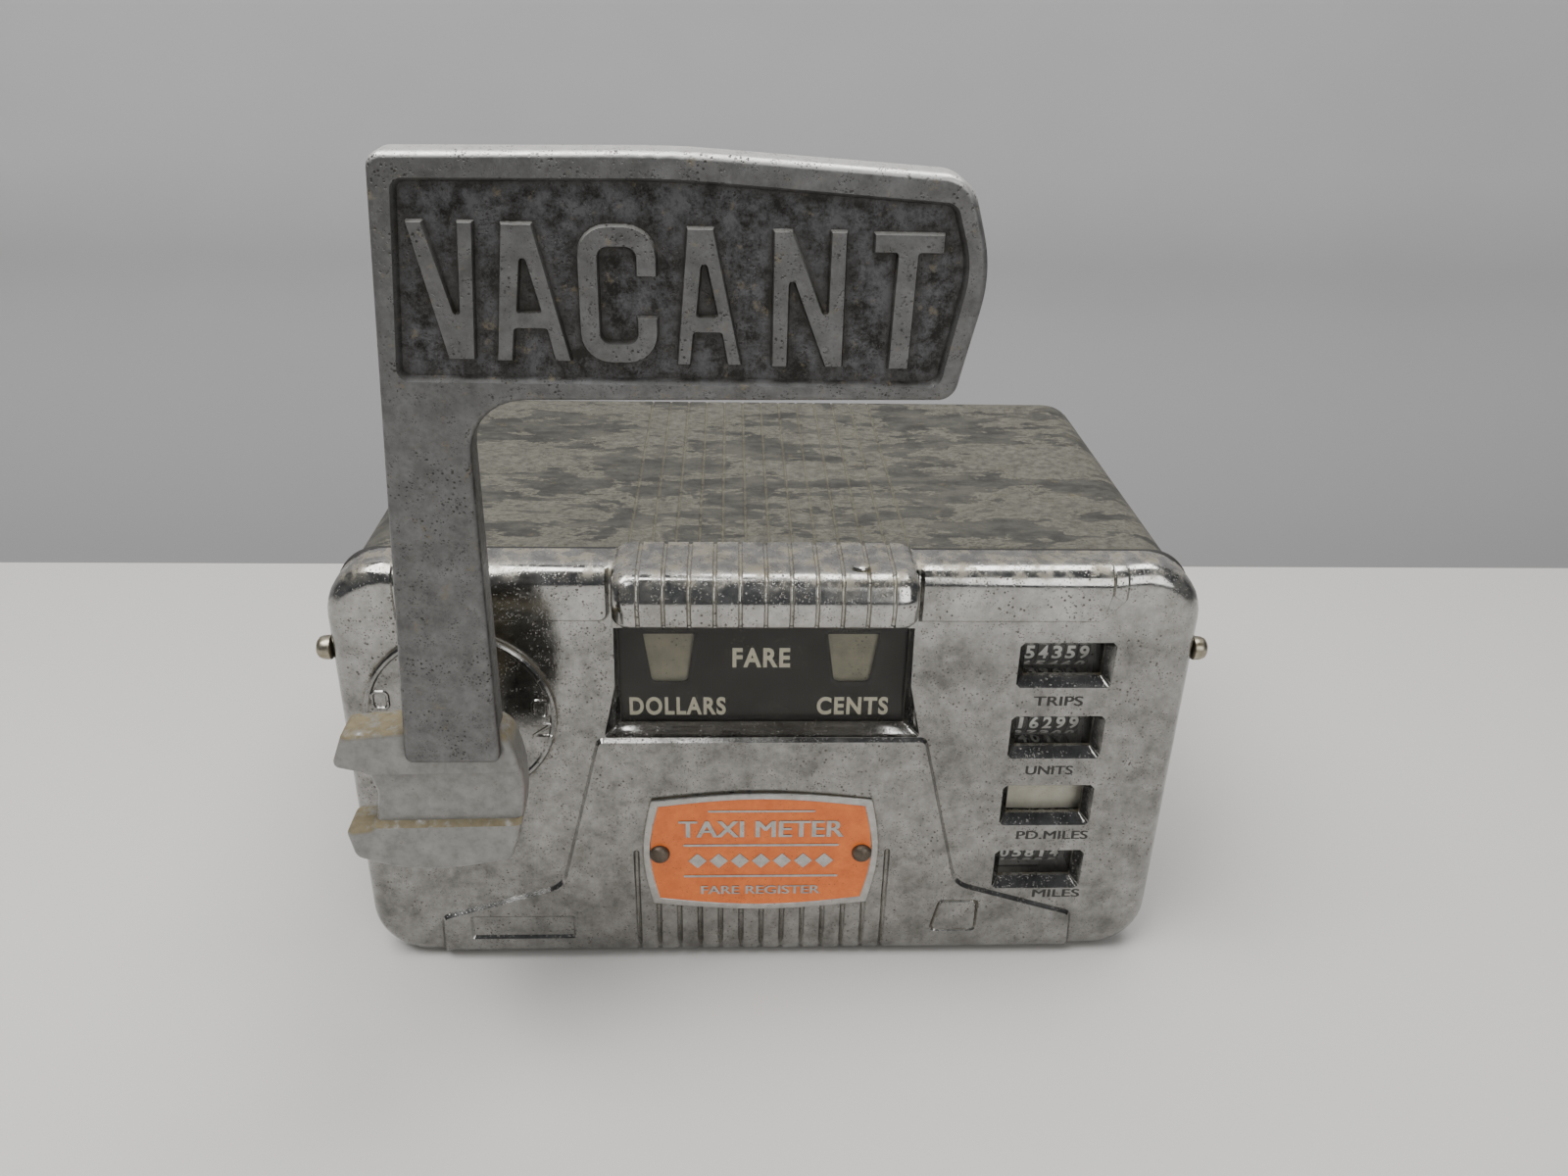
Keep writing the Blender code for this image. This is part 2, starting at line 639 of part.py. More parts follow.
def plate_rivets():
    under = -(RELIEF + 2 * SEAT_GAP + PLATE_THICKNESS)
    profile = [(0, under - RIVET_HEAD_HEIGHT), (RIVET_HEAD * 0.55, under - RIVET_HEAD_HEIGHT * 0.75)]
    profile += [(RIVET_HEAD, under)]
    profile += [(RIVET_SHANK, under), (RIVET_SHANK, COVER_WALL), (0, COVER_WALL)]
    for side, name in ((-1, "plate_rivet_left"), (1, "plate_rivet_right")):
        place = (FASCIA_X + side * RIVET_SPACING / 2, FACE_Y, PLATE_Z)
        finish(add(name, turned(profile, "Y", 12), place), "steel")


def window_sheet():
    """The outline that the glass and the mask share."""
    width = WINDOW_WIDTH + 2 * GLASS_MARGIN
    return rectangle(width, WINDOW_LOW - GLASS_MARGIN, WINDOW_HIGH + GLASS_MARGIN, 0, middle=FASCIA_X)


def window_glass():
    return finish(add("window_glass", prism(window_sheet(), GLASS_Y, GLASS_BACK_Y)), "glass")


def aperture(centre):
    """A slot in the mask, wider at its top."""
    low = APERTURE_WIDTH_LOW / 2
    high = APERTURE_WIDTH_HIGH / 2
    corners = [(centre - low, APERTURE_LOW, 0), (centre + low, APERTURE_LOW, 0)]
    corners += [(centre + high, APERTURE_HIGH, 0), (centre - high, APERTURE_HIGH, 0)]
    return outline(corners)


def dial_mask():
    holes = (aperture(DOLLARS_X), aperture(CENTS_X))
    mask = prism(window_sheet(), MASK_Y, MASK_Y + MASK_THICKNESS, holes=holes)
    return finish(add("dial_mask", mask), "black_paint")


def position_disc():
    hole = circle(bush_radius() + SEAT_GAP)
    start = -DISC_THICKNESS - SEAT_GAP
    disc = prism(circle(DISC_RADIUS, 32), start, -SEAT_GAP, holes=(hole,))
    return finish(add("position_disc", disc, (SHAFT_X, FACE_Y, SHAFT_Z)), "chrome")


def counter_glass():
    """One strip of glass behind all four counter windows."""
    half = COUNTER_WINDOW_HEIGHT / 2 + COUNTER_BEVEL
    width = COUNTER_WINDOW_WIDTH + 2 * COUNTER_GLASS_MARGIN
    line = rectangle(width, counter_z(LAST_ROW) - half, counter_z(0) + half, 0, middle=COUNTER_X)
    return finish(add("counter_glass", prism(line, GLASS_Y, GLASS_BACK_Y)), "glass")


# ---- Case ----
def case_line(inset):
    radius = max(CASE_CORNER - inset, 0.001)
    return rectangle(CASE_WIDTH - 2 * inset, inset, CASE_HEIGHT - inset, radius)


def case_shell():
    start = BACK_Y - CASE_REAR_EDGE
    lines = [(case_line(0), CASE_Y), (case_line(0), start)]
    steps = 3
    for step in range(1, steps + 1):
        angle = math.pi / 2 * step / steps
        inset = CASE_REAR_EDGE * (1 - math.cos(angle))
        lines.append((case_line(inset), start + CASE_REAR_EDGE * math.sin(angle)))
    case = add("case_shell", stack(lines))
    hollow = prism(case_line(CASE_WALL), CASE_Y - CASE_WALL, BACK_Y - CASE_WALL)
    cut(case, add("case_hollow", hollow))
    bore = SOCKET_BORE + SOCKET_WALL + SLIDE_GAP
    hole = prism(circle(bore, 16, centre=(SOCKET_X, SOCKET_Z)), BACK_Y - 2 * CASE_WALL, BACK_Y + CASE_WALL)
    cut(case, add("socket_hole", hole))
    ends = (CASE_WIDTH / 2 - 2 * CASE_WALL, CASE_WIDTH / 2 + CASE_WALL)
    hole = prism(circle(SEAL_SHANK_RADIUS + SEAT_GAP, 8), *ends, "X")
    cut(case, add("case_screw_hole", hole, (0, FACE_Y + CASE_SCREW_DEPTH, SEAL_Z)))
    return finish(case, "olive_paint")


def cover_gasket():
    width = CASE_WIDTH + 2 * GASKET_LIP
    outer = rectangle(width, SEAT_GAP, CASE_HEIGHT, CASE_CORNER)
    inner = rectangle(width - 2 * GASKET_BAND, GASKET_BAND, CASE_HEIGHT - GASKET_BAND, CASE_CORNER / 2)
    gasket = prism(outer, GASKET_Y, GASKET_Y + GASKET_THICKNESS, holes=(inner,))
    return finish(add("cover_gasket", gasket), "rubber")


def seal_screw(name, side):
    """A round head with a hole for the seal wire, on a shank through the cover's side."""
    seat = COVER_WIDTH / 2 + SEAT_GAP
    profile = [(0, -COVER_WALL - SEAT_GAP * 2), (SEAL_SHANK_RADIUS, -COVER_WALL - SEAT_GAP * 2)]
    profile += [(SEAL_SHANK_RADIUS, 0)]
    for radius, along in ((0.8, 0), (1, 0.25), (0.92, 0.6), (0.6, 0.9), (0, 1)):
        profile.append((SEAL_HEAD_RADIUS * radius, SEAL_HEAD_LENGTH * along))
    profile = [(radius, side * along) for radius, along in profile]
    screw = add(name, turned(profile, "X", 12), (side * seat, FACE_Y + SEAL_DEPTH, SEAL_Z))
    hole = prism(circle(SEAL_WIRE_RADIUS, 6), -2 * SEAL_HEAD_RADIUS, 2 * SEAL_HEAD_RADIUS, "Y")
    place = (side * (seat + SEAL_HEAD_LENGTH / 2), FACE_Y + SEAL_DEPTH, SEAL_Z)
    cutter = add(name + "_wire_hole", hole, place)
    return finish(cut(screw, cutter), "brass")


def case_screw_right():
    seat = CASE_WIDTH / 2 + SEAT_GAP
    tip = -2 * CASE_WALL
    profile = [(0, tip), (SEAL_SHANK_RADIUS, tip), (SEAL_SHANK_RADIUS, 0), (CASE_SCREW_HEAD, 0)]
    profile += [(CASE_SCREW_HEAD * 0.9, CASE_SCREW_HEIGHT * 0.7)]
    profile += [(CASE_SCREW_HEAD * 0.4, CASE_SCREW_HEIGHT), (0, CASE_SCREW_HEIGHT)]
    screw = add("case_screw_right", turned(profile, "X", 12), (seat, FACE_Y + CASE_SCREW_DEPTH, SEAL_Z))
    return finish(screw, "steel")


def power_socket():
    """The flanged inlet in the back, with pins inside its barrel."""
    half = SOCKET_FLANGE / 2
    flange = rectangle(SOCKET_FLANGE, -half, half, half / 5, 2)
    place = (SOCKET_X, BACK_Y, SOCKET_Z)
    socket = add("power_socket", prism(flange, SEAT_GAP, SOCKET_FLANGE_THICKNESS), place)
    inner = SOCKET_BORE + SOCKET_WALL
    step = SOCKET_FLANGE_THICKNESS / 2
    profile = [(0, -SOCKET_SINK), (inner, -SOCKET_SINK), (inner, step)]
    profile += [(SOCKET_RADIUS, step), (SOCKET_RADIUS, SOCKET_LENGTH), (0, SOCKET_LENGTH)]
    weld(socket, add("socket_barrel", turned(profile, "Y", 16), place))
    floor = SOCKET_FLANGE_THICKNESS - SLIDE_GAP
    cut(socket, add("socket_bore", prism(circle(SOCKET_BORE, 16), floor, 2 * SOCKET_LENGTH), place))
    for index in range(SOCKET_PINS):
        turn = 2 * math.pi * index / SOCKET_PINS
        spot = (SOCKET_BORE * 0.55 * math.cos(turn), SOCKET_BORE * 0.55 * math.sin(turn))
        pin = prism(circle(PIN_RADIUS, 6, centre=spot), 0, SOCKET_LENGTH - 2 * PIN_RADIUS)
        weld(socket, add("socket_pin_%d" % index, pin, place))
    return finish(socket, "black_plastic")


# ---- Flag, handle and what turns with them ----
def flag_line():
    """The arm's outline from the shaft's axis: a tapering stem, with the lettered panel to its right."""
    foot = STEM_FOOT_WIDTH / 2
    right = STEM_X + foot
    end = PANEL_RIGHT - PANEL_BULGE / 3
    middle = (PANEL_LOW_Z + PANEL_HIGH_Z) / 2
    corners = [
        (STEM_X - foot, STEM_FOOT_Z, 0.002),
        (right, STEM_FOOT_Z, 0.002),
        (right, PANEL_LOW_Z, STEM_FILLET),
        (end, PANEL_LOW_Z + 0.001, 0.004),
        (PANEL_RIGHT + PANEL_BULGE, middle + 2 * PANEL_BULGE, 0.020),
        (end, PANEL_HIGH_Z - 0.0025, 0.005),
        ((PANEL_RIGHT + PANEL_LEFT) / 2, PANEL_HIGH_Z + 0.0008, 0.200),
        (PANEL_LEFT, PANEL_HIGH_Z, 0.004),
    ]
    return outline(corners, 4)


def flag_arm(parent):
    """The L-shaped casting, recessed behind its letters and lapped over the hub at its foot."""
    arm = add("flag_arm", prism(flag_line(), FLAG_Y, FLAG_Y + FLAG_THICKNESS), parent=parent)
    left = PANEL_LEFT + FLAG_RIM
    right = PANEL_RIGHT - FLAG_RIM
    low = PANEL_LOW_Z + FLAG_RIM
    high = PANEL_HIGH_Z - FLAG_RIM
    corners = [(left, low, 0.002), (right, low, 0.003), (right + PANEL_BULGE * 0.7, high - 0.012, 0.010)]
    corners += [(right, high - 0.003, 0.002), (left, high, 0.002)]
    cut(arm, add("flag_recess", prism(outline(corners, 2), 2 * FLAG_Y, FLAG_Y + FLAG_RECESS), parent=parent))
    lap = block(
        (STEM_X - STEM_FOOT_WIDTH, FLAG_Y + FLAG_PROUD - SEAT_GAP, 0),
        (STEM_X + STEM_FOOT_WIDTH, FLAG_Y + 2 * FLAG_THICKNESS, HUB_TOP + SEAT_GAP),
    )
    cut(arm, add("flag_lap", lap, parent=parent))
    cut(arm, add("flag_screw_hole", screw_hole(FLAG_Y + 0.4 * FLAG_PROUD, HUB_BACK_Y), parent=parent))
    return finish(arm, "cast_aluminium")


def screw_hole(start, end):
    return prism(circle(FLAG_SCREW_RADIUS + SEAT_GAP, 8, centre=FLAG_SCREW_SPOT), start, end)


def flag_screw(parent):
    """Fastens the foot of the flag from the back of the hub."""
    tip = FLAG_Y + 0.5 * FLAG_PROUD
    seat = HUB_BACK_Y + SEAT_GAP
    head = 2 * FLAG_SCREW_RADIUS
    profile = [(0, tip), (FLAG_SCREW_RADIUS, tip), (FLAG_SCREW_RADIUS, seat), (head, seat)]
    profile += [(head, seat + FLAG_SCREW_RADIUS), (0, seat + FLAG_SCREW_RADIUS)]
    place = (FLAG_SCREW_SPOT[0], 0, FLAG_SCREW_SPOT[1])
    return finish(add("flag_screw", turned(profile, "Y", 8), place, parent), "steel")


def hub_line():
    """The knob's outline from the shaft's axis: barrel-shaped, with its wings to the left."""
    corners = [
        (HUB_LEFT, CHANNEL_LOW, 0.002),
        (HUB_LEFT + 0.0020, HUB_FOOT + 0.0030, 0.003),
        (HUB_LEFT + 0.0110, HUB_FOOT, 0.012),
        (0.0, HUB_FOOT - 0.0013, 0.050),
        (HUB_RIGHT - 0.0062, HUB_FOOT + 0.0020, 0.003),
        (HUB_RIGHT, 0.0020, 0.045),
        (HUB_RIGHT - 0.0050, HUB_TOP - 0.0010, 0.006),
        (0.0, HUB_TOP, 0.050),
        (HUB_LEFT + 0.0030, HUB_TOP - 0.0020, 0.003),
        (HUB_LEFT - 0.0005, CHANNEL_HIGH + 0.0018, 0.002),
    ]
    return outline(corners, 3)


def cross_hole():
    """A cutter for the pin that goes across the shaft."""
    return prism(circle(HUB_PIN_RADIUS + SEAT_GAP, 8, centre=(0, HUB_PIN_Y)), -HUB_RIGHT, HUB_RIGHT, "Z")


def handle_hub(parent):
    """A barrel-shaped knob with a finger channel open to the left between two wings."""
    front = -HUB_FRONT
    left = 2 * HUB_LEFT
    hub = add("handle_hub", prism(hub_line(), front, HUB_BACK_Y), parent=parent)
    channel = block((left, 2 * front, CHANNEL_LOW), (CHANNEL_END, 0, CHANNEL_HIGH))
    cut(hub, add("finger_channel", channel, parent=parent))
    recess_end = HUB_RIGHT + CHANNEL_END / 3
    recess = block((left, 2 * front, CHANNEL_LOW), (recess_end, front + HUB_MID_RECESS, CHANNEL_HIGH))
    cut(hub, add("hub_recess", recess, parent=parent))
    neck_end = -(DISC_THICKNESS + 2 * SEAT_GAP + RUN_GAP)
    neck = prism(circle(HUB_NECK_RADIUS), HUB_BACK_Y - HUB_MID_RECESS, neck_end)
    weld(hub, add("hub_neck", neck, parent=parent))
    bore = prism(circle(SHAFT_RADIUS + SEAT_GAP, 16), shaft_front() - SEAT_GAP, HUB_THICKNESS)
    cut(hub, add("hub_bore", bore, parent=parent))
    cut(hub, add("hub_screw_hole", screw_hole(2 * front, 0), parent=parent))
    cut(hub, add("hub_pin_hole", cross_hole(), parent=parent))
    return finish(hub, "silver_paint")


def shaft_front():
    """The shaft stops a wall short of the hub's front."""
    return -HUB_FRONT + SHAFT_RADIUS


def hub_pin(parent):
    """A cross pin through the hub's neck and the shaft."""
    reach = 0.9 * HUB_NECK_RADIUS
    pin = prism(circle(HUB_PIN_RADIUS, 8, centre=(0, HUB_PIN_Y)), -reach, reach, "Z")
    return finish(add("hub_pin", pin, parent=parent), "steel")


def flag_shaft(parent):
    shaft = add("flag_shaft", prism(circle(SHAFT_RADIUS, 16), shaft_front(), SHAFT_REAR), parent=parent)
    cut(shaft, add("shaft_pin_hole", cross_hole(), parent=parent))
    return finish(shaft, "steel")


def bush_radius():
    return SHAFT_RADIUS + RUN_GAP + BUSH_WALL


def shaft_bush():
    bush = ring(bush_radius(), SHAFT_RADIUS + RUN_GAP, 0, COVER_DEPTH)
    return finish(add("shaft_bush", bush, (SHAFT_X, FACE_Y, SHAFT_Z)), "brass")


def flag_cam(parent):
    """A disc with two notches a quarter turn apart, one for each flag position."""
    line = []
    notches = (math.pi, math.pi * 1.5)
    steps = 36
    for step in range(steps):
        turn = 2 * math.pi * step / steps
        notched = any(abs(turn - notch) < math.pi / steps for notch in notches)
        radius = CAM_RADIUS - CAM_NOTCH * notched
        line.append(Vector((radius * math.cos(turn), radius * math.sin(turn))))
    hole = circle(SHAFT_RADIUS + SEAT_GAP, 16)
    cam = prism(line, CAM_DEPTH, CAM_DEPTH + CAM_THICKNESS, holes=(hole,))
    return finish(add("flag_cam", cam, parent=parent), "steel")


def detent_lever(parent):
    """Rests beside the cam with its nose at a notch."""
    half = LEVER_WIDTH / 2
    nose = LEVER_WIDTH - RUN_GAP
    slope = 0.7 * LEVER_WIDTH
    corners = [
        (-half, -half, 0.003),
        (half, -half, 0.003),
        (half, LEVER_DROP - slope, 0),
        (nose, LEVER_DROP, 0.001),
        (half, LEVER_DROP + slope, 0),
        (half, LEVER_DROP + 2 * slope, 0.002),
        (-half, LEVER_DROP + 2 * slope, 0.002),
    ]
    hole = circle(STUD_RADIUS + RUN_GAP, 8)
    lever = prism(outline(corners, 2), 0, CAM_THICKNESS, holes=(hole,))
    return finish(add("detent_lever", lever, parent=parent), "steel")


# ---- Mechanism ----
def chassis_frame():
    """A bent-up plate: a floor, two uprights for the drums and one behind the flag's cam."""
    floor = block(
        (-CHASSIS_HALF_WIDTH, FACE_Y + CHASSIS_FRONT, CHASSIS_Z),
        (CHASSIS_HALF_WIDTH, CHASSIS_REAR_Y, CHASSIS_TOP),
    )
    frame = add("chassis_frame", floor)
    half = UPRIGHT_DEPTH / 2
    for name, x in (("left", UPRIGHT_LEFT_X), ("right", UPRIGHT_RIGHT_X)):
        high = (x + CHASSIS_SHEET, DRUM_Y + half, DRUM_Z + UPRIGHT_RISE)
        weld(frame, add("upright_" + name, block((x, DRUM_Y - half, CHASSIS_Z), high)))
    bore = circle(DRUM_AXLE_RADIUS + SEAT_GAP, 12, centre=(DRUM_Y, DRUM_Z))
    cut(frame, add("axle_holes", prism(bore, -THROUGH, THROUGH, "X")))
    rear = BRACKET_Y + CHASSIS_SHEET
    bracket = block(
        (SHAFT_X - BRACKET_HALF, BRACKET_Y, CHASSIS_Z),
        (SHAFT_X + BRACKET_HALF, rear, SHAFT_Z + CAM_RADIUS),
    )
    weld(frame, add("shaft_bracket", bracket))
    bore = circle(SHAFT_RADIUS + RUN_GAP, 16, centre=(SHAFT_X, SHAFT_Z))
    cut(frame, add("shaft_hole", prism(bore, BRACKET_Y - CHASSIS_SHEET, rear + CHASSIS_SHEET)))
    stud = circle(STUD_RADIUS, 8, centre=(LEVER_PIVOT_X, LEVER_PIVOT_Z))
    weld(frame, add("lever_stud", prism(stud, FACE_Y + CAM_DEPTH - STUD_RADIUS, rear)))
    arm = block(
        (LEVER_PIVOT_X - 2 * STUD_RADIUS, BRACKET_Y, LEVER_PIVOT_Z - 2 * STUD_RADIUS),
        (SHAFT_X, rear, LEVER_PIVOT_Z + 2 * STUD_RADIUS),
    )
    weld(frame, add("stud_arm", arm))
    return finish(frame, "steel")


def drum_axle():
    start = UPRIGHT_LEFT_X - AXLE_END
    end = UPRIGHT_RIGHT_X + CHASSIS_SHEET + AXLE_END
    axle = prism(circle(DRUM_AXLE_RADIUS, 12), start, end, "X")
    return finish(add("drum_axle", axle, (0, DRUM_Y, DRUM_Z)), "steel")


def fare_drum(name, centre, width, parent):
    """A hollow-hubbed numbered drum."""
    half = width / 2
    bore = circle(DRUM_AXLE_RADIUS + RUN_GAP, 12)
    drum = prism(circle(DRUM_RADIUS, 20), centre - half, centre + half, "X", holes=(bore,))
    return finish(add(name, drum, parent=parent), "black_plastic")


def ratchet_wheel(parent):
    """Ten saw teeth, one for each digit."""
    line = []
    for tooth in range(RATCHET_TEETH):
        turn = 2 * math.pi * tooth / RATCHET_TEETH
        line.append(Vector((RATCHET_RADIUS * math.cos(turn), RATCHET_RADIUS * math.sin(turn))))
        low = RATCHET_RADIUS * 0.78
        line.append(Vector((low * math.cos(turn + 0.05), low * math.sin(turn + 0.05))))
        middle = RATCHET_RADIUS * 0.88
        line.append(Vector((middle * math.cos(turn + 0.32), middle * math.sin(turn + 0.32))))
    start = RATCHET_X - RATCHET_WIDTH / 2
    bore = circle(DRUM_AXLE_RADIUS + RUN_GAP, 12)
    wheel = prism(line, start, start + RATCHET_WIDTH, "X", holes=(bore,))
    return finish(add("ratchet_wheel", wheel, parent=parent), "steel")


def fare_shutter(parent):
    """Two tabs on one bar, which cover both fare apertures until the flag is turned."""
    left = DOLLARS_X - APERTURE_WIDTH_HIGH / 2 - SHUTTER_LAP
    right = CENTS_X + APERTURE_WIDTH_HIGH / 2 + SHUTTER_LAP
    tab = APERTURE_WIDTH_HIGH + 2 * SHUTTER_LAP
    top = APERTURE_HIGH + SHUTTER_LAP
    bar = APERTURE_LOW - SHUTTER_LAP
    low = bar - SHUTTER_BAR
    corners = [(left, low, 0), (right, low, 0), (right, top, 0), (right - tab, top, 0)]
    corners += [(right - tab, bar, 0), (left + tab, bar, 0), (left + tab, top, 0), (left, top, 0)]
    shutter = prism(outline(corners), SHUTTER_Y, SHUTTER_Y + SHUTTER_THICKNESS)
    return finish(add("fare_shutter", shutter, parent=parent), "drab_paint")


def step_solenoid():
    body = ring(SOLENOID_RADIUS, PLUNGER_RADIUS + SLIDE_GAP, SOLENOID_FOOT / 2, SOLENOID_LENGTH, "Z", 16)
    place = (RATCHET_X, SOLENOID_Y, SOLENOID_Z)
    solenoid = add("step_solenoid", body, place)
    foot = prism(circle(SOLENOID_RADIUS, 16), 0, SOLENOID_FOOT, "Z")
    weld(solenoid, add("solenoid_foot", foot, place))
    return finish(solenoid, "black_plastic")


def solenoid_plunger(parent):
    """Its top is a flat tongue that carries the pawl on a cross stud."""
    low = SOLENOID_Z + SOLENOID_FOOT + PLUNGER_TRAVEL + SLIDE_GAP - PLUNGER_TOP
    neck = -PLUNGER_REACH / 2
    plunger = add("solenoid_plunger", prism(circle(PLUNGER_RADIUS, 12), low, neck, "Z"), parent=parent)
    half = TONGUE_THICKNESS / 2
    tongue = block((-half, -PLUNGER_RADIUS, neck - half), (half, PLUNGER_RADIUS, PLUNGER_RADIUS))
    weld(plunger, add("plunger_tongue", tongue, parent=parent))
    stud = prism(circle(PAWL_STUD_RADIUS, 8), -half - PAWL_THICKNESS - 2 * SEAT_GAP, 0, "X")
    weld(plunger, add("plunger_stud", stud, parent=parent))
    return finish(plunger, "steel")


def drive_pawl(parent):
    """Reaches from the plunger to the ratchet wheel's teeth."""
    wheel = Vector((DRUM_Y, DRUM_Z)) - Vector((SOLENOID_Y, PLUNGER_TOP))
    tip = wheel - wheel.normalized() * (RATCHET_RADIUS + 4 * RUN_GAP)
    half = 2 * PAWL_STUD_RADIUS
    across = Vector((-tip.y, tip.x)).normalized() * half
    line = [-across, tip - across / 3, tip + across / 3, across, -tip.normalized() * half]
    start = -TONGUE_THICKNESS / 2 - SEAT_GAP - PAWL_THICKNESS
    bore = circle(PAWL_STUD_RADIUS + RUN_GAP / 2, 6)
    pawl = prism(line, start, start + PAWL_THICKNESS, "X", holes=(bore,))
    return finish(add("drive_pawl", pawl, parent=parent), "steel")


def time_motor():
    """A round clock motor that adds waiting time."""
    boss = MOTOR_RADIUS / 3
    spindle = MOTOR_RADIUS / 9
    shoulder = MOTOR_LENGTH + spindle
    tip = MOTOR_LENGTH + 5 * spindle
    profile = [(0, 0), (MOTOR_RADIUS, 0), (MOTOR_RADIUS, MOTOR_LENGTH), (boss, MOTOR_LENGTH)]
    profile += [(boss, shoulder), (spindle, shoulder), (spindle, tip), (0, tip)]
    place = (MOTOR_X, CHASSIS_REAR_Y - MOTOR_REAR_GAP, SOLENOID_Z)
    return finish(add("time_motor", turned(profile, "Z", 20), place), "steel")


def lamp_socket():
    """Two spring clips on a strip, which hold the bulb by its ends."""
    clip_sheet = BULB_RADIUS / 2
    strip_y = LAMP_Y + BULB_RADIUS + 2 * SLIDE_GAP + clip_sheet / 2
    half = BULB_LENGTH / 2 + SEAT_GAP + clip_sheet
    top = COVER_HEIGHT - COVER_WALL - SEAT_GAP
    low = (FASCIA_X - half, strip_y, LAMP_Z + BULB_RADIUS / 2)
    socket = add("lamp_socket", block(low, (FASCIA_X + half, strip_y + clip_sheet, top)))
    for side, name in ((-1, "left"), (1, "right")):
        ends = sorted((FASCIA_X + side * half, FASCIA_X + side * (half - clip_sheet)))
        low = (ends[0], LAMP_Y - BULB_RADIUS, LAMP_Z - BULB_RADIUS)
        high = (ends[1], strip_y + clip_sheet / 2, LAMP_Z + BULB_RADIUS)
        weld(socket, add("lamp_clip_" + name, block(low, high)))
    return finish(socket, "brass")


def lamp_bulb():
    half = BULB_LENGTH / 2
    cap = BULB_RADIUS * 0.6
    side = half * 0.8
    profile = [(0, -half), (cap, -half), (BULB_RADIUS, -side), (BULB_RADIUS, side), (cap, half), (0, half)]
    return finish(add("lamp_bulb", turned(profile, "X", 12), (FASCIA_X, LAMP_Y, LAMP_Z)), "glass")


# ---- Counters ----
def wheels_half():
    return WHEEL_COUNT * WHEEL_PITCH / 2


def counter_frame():
    """A folded plate with a cheek at each end, and the four axles riveted between them."""
    inner = wheels_half() + SEAT_GAP
    outer = inner + COUNTER_SHEET
    low = counter_z(LAST_ROW) - WHEEL_RADIUS
    high = counter_z(0) + WHEEL_RADIUS
    back = WHEEL_Y + WHEEL_RADIUS + 2 * SLIDE_GAP
    plate = block((COUNTER_X - outer, back, low), (COUNTER_X + outer, back + COUNTER_SHEET, high))
    frame = add("counter_frame", plate)
    cheek_front = WHEEL_Y - 0.75 * WHEEL_RADIUS
    for side, name in ((-1, "left"), (1, "right")):
        ends = sorted((COUNTER_X + side * inner, COUNTER_X + side * outer))
        cheek = block((ends[0], cheek_front, low), (ends[1], back + COUNTER_SHEET / 3, high))
        weld(frame, add("counter_cheek_" + name, cheek))
    reach = outer + AXLE_RADIUS
    for row, name in enumerate(COUNTER_NAMES):
        axle = prism(circle(AXLE_RADIUS, 8), COUNTER_X - reach, COUNTER_X + reach, "X")
        weld(frame, add(name + "_axle", axle, (0, WHEEL_Y, counter_z(row))))
    foot = block(
        (COUNTER_X - WHEEL_RADIUS, back, CHASSIS_TOP + SEAT_GAP),
        (COUNTER_X + WHEEL_RADIUS, back + COUNTER_SHEET, low + COUNTER_SHEET),
    )
    weld(frame, add("counter_foot", foot))
    return finish(frame, "steel")


def counter_wheels(name, row):
    """Five wheels on one axle; wheel 1, at the right, counts the units."""
    half = (WHEEL_PITCH - SEAT_GAP) / 2
    bore = circle(AXLE_RADIUS + RUN_GAP, 8)
    shape = prism(circle(WHEEL_RADIUS, 20), -half, half, "X", holes=(bore,))
    for place in range(WHEEL_COUNT):
        x = COUNTER_X + wheels_half() - (place + 0.5) * WHEEL_PITCH
        axis = pivot("%s_wheel_%d_axis" % (name, place + 1), (x, WHEEL_Y, counter_z(row)))
        wheel = add("%s_wheel_%d" % (name, place + 1), shape, parent=axis)
        if place == 0:
            shape = wheel.data
            finish(wheel, "black_plastic")


# ---- Assembly ----
def build_casework():
    front_cover()
    lamp_hood()
    hood_pin()
    name_plate()
    plate_rivets()
    window_glass()
    dial_mask()
    position_disc()
    counter_glass()
    case_shell()
    cover_gasket()
    seal_screw("seal_screw_left", -1)
    seal_screw("seal_screw_right", 1)
    case_screw_right()
    power_socket()
    shaft_bush()
    chassis_frame()
    drum_axle()
    step_solenoid()
    time_motor()
    lamp_socket()
    lamp_bulb()
    counter_frame()


def build_flag():
    """What turns with the flag, and the shutter and lever that it works."""
    flag_pivot = pivot("flag_pivot", (SHAFT_X, FACE_Y, SHAFT_Z))
    flag_arm(flag_pivot)
    handle_hub(flag_pivot)
    flag_screw(flag_pivot)
    hub_pin(flag_pivot)
    flag_shaft(flag_pivot)
    flag_cam(flag_pivot)
    fare_shutter(pivot("shutter_slide", (0, 0, 0)))
    detent_lever(pivot("lever_pivot", (LEVER_PIVOT_X, FACE_Y + CAM_DEPTH, LEVER_PIVOT_Z)))


def build_drums():
    """The fare drums, each on its own axis, and what steps the cents."""
    place = (0, DRUM_Y, DRUM_Z)
    offset = CENTS_DRUM_WIDTH / 2 + SEAT_GAP
    fare_drum("dollars_drum", DOLLARS_X, DOLLARS_DRUM_WIDTH, pivot("dollars_axis", place))
    fare_drum("cents_tens_drum", CENTS_X - offset, CENTS_DRUM_WIDTH, pivot("tens_axis", place))
    units_axis = pivot("units_axis", place)
    fare_drum("cents_units_drum", CENTS_X + offset, CENTS_DRUM_WIDTH, units_axis)
    ratchet_wheel(units_axis)
    plunger_axis = pivot("plunger_axis", (RATCHET_X, SOLENOID_Y, PLUNGER_TOP))
    solenoid_plunger(plunger_axis)
    drive_pawl(pivot("pawl_axis", (0, 0, 0), plunger_axis))


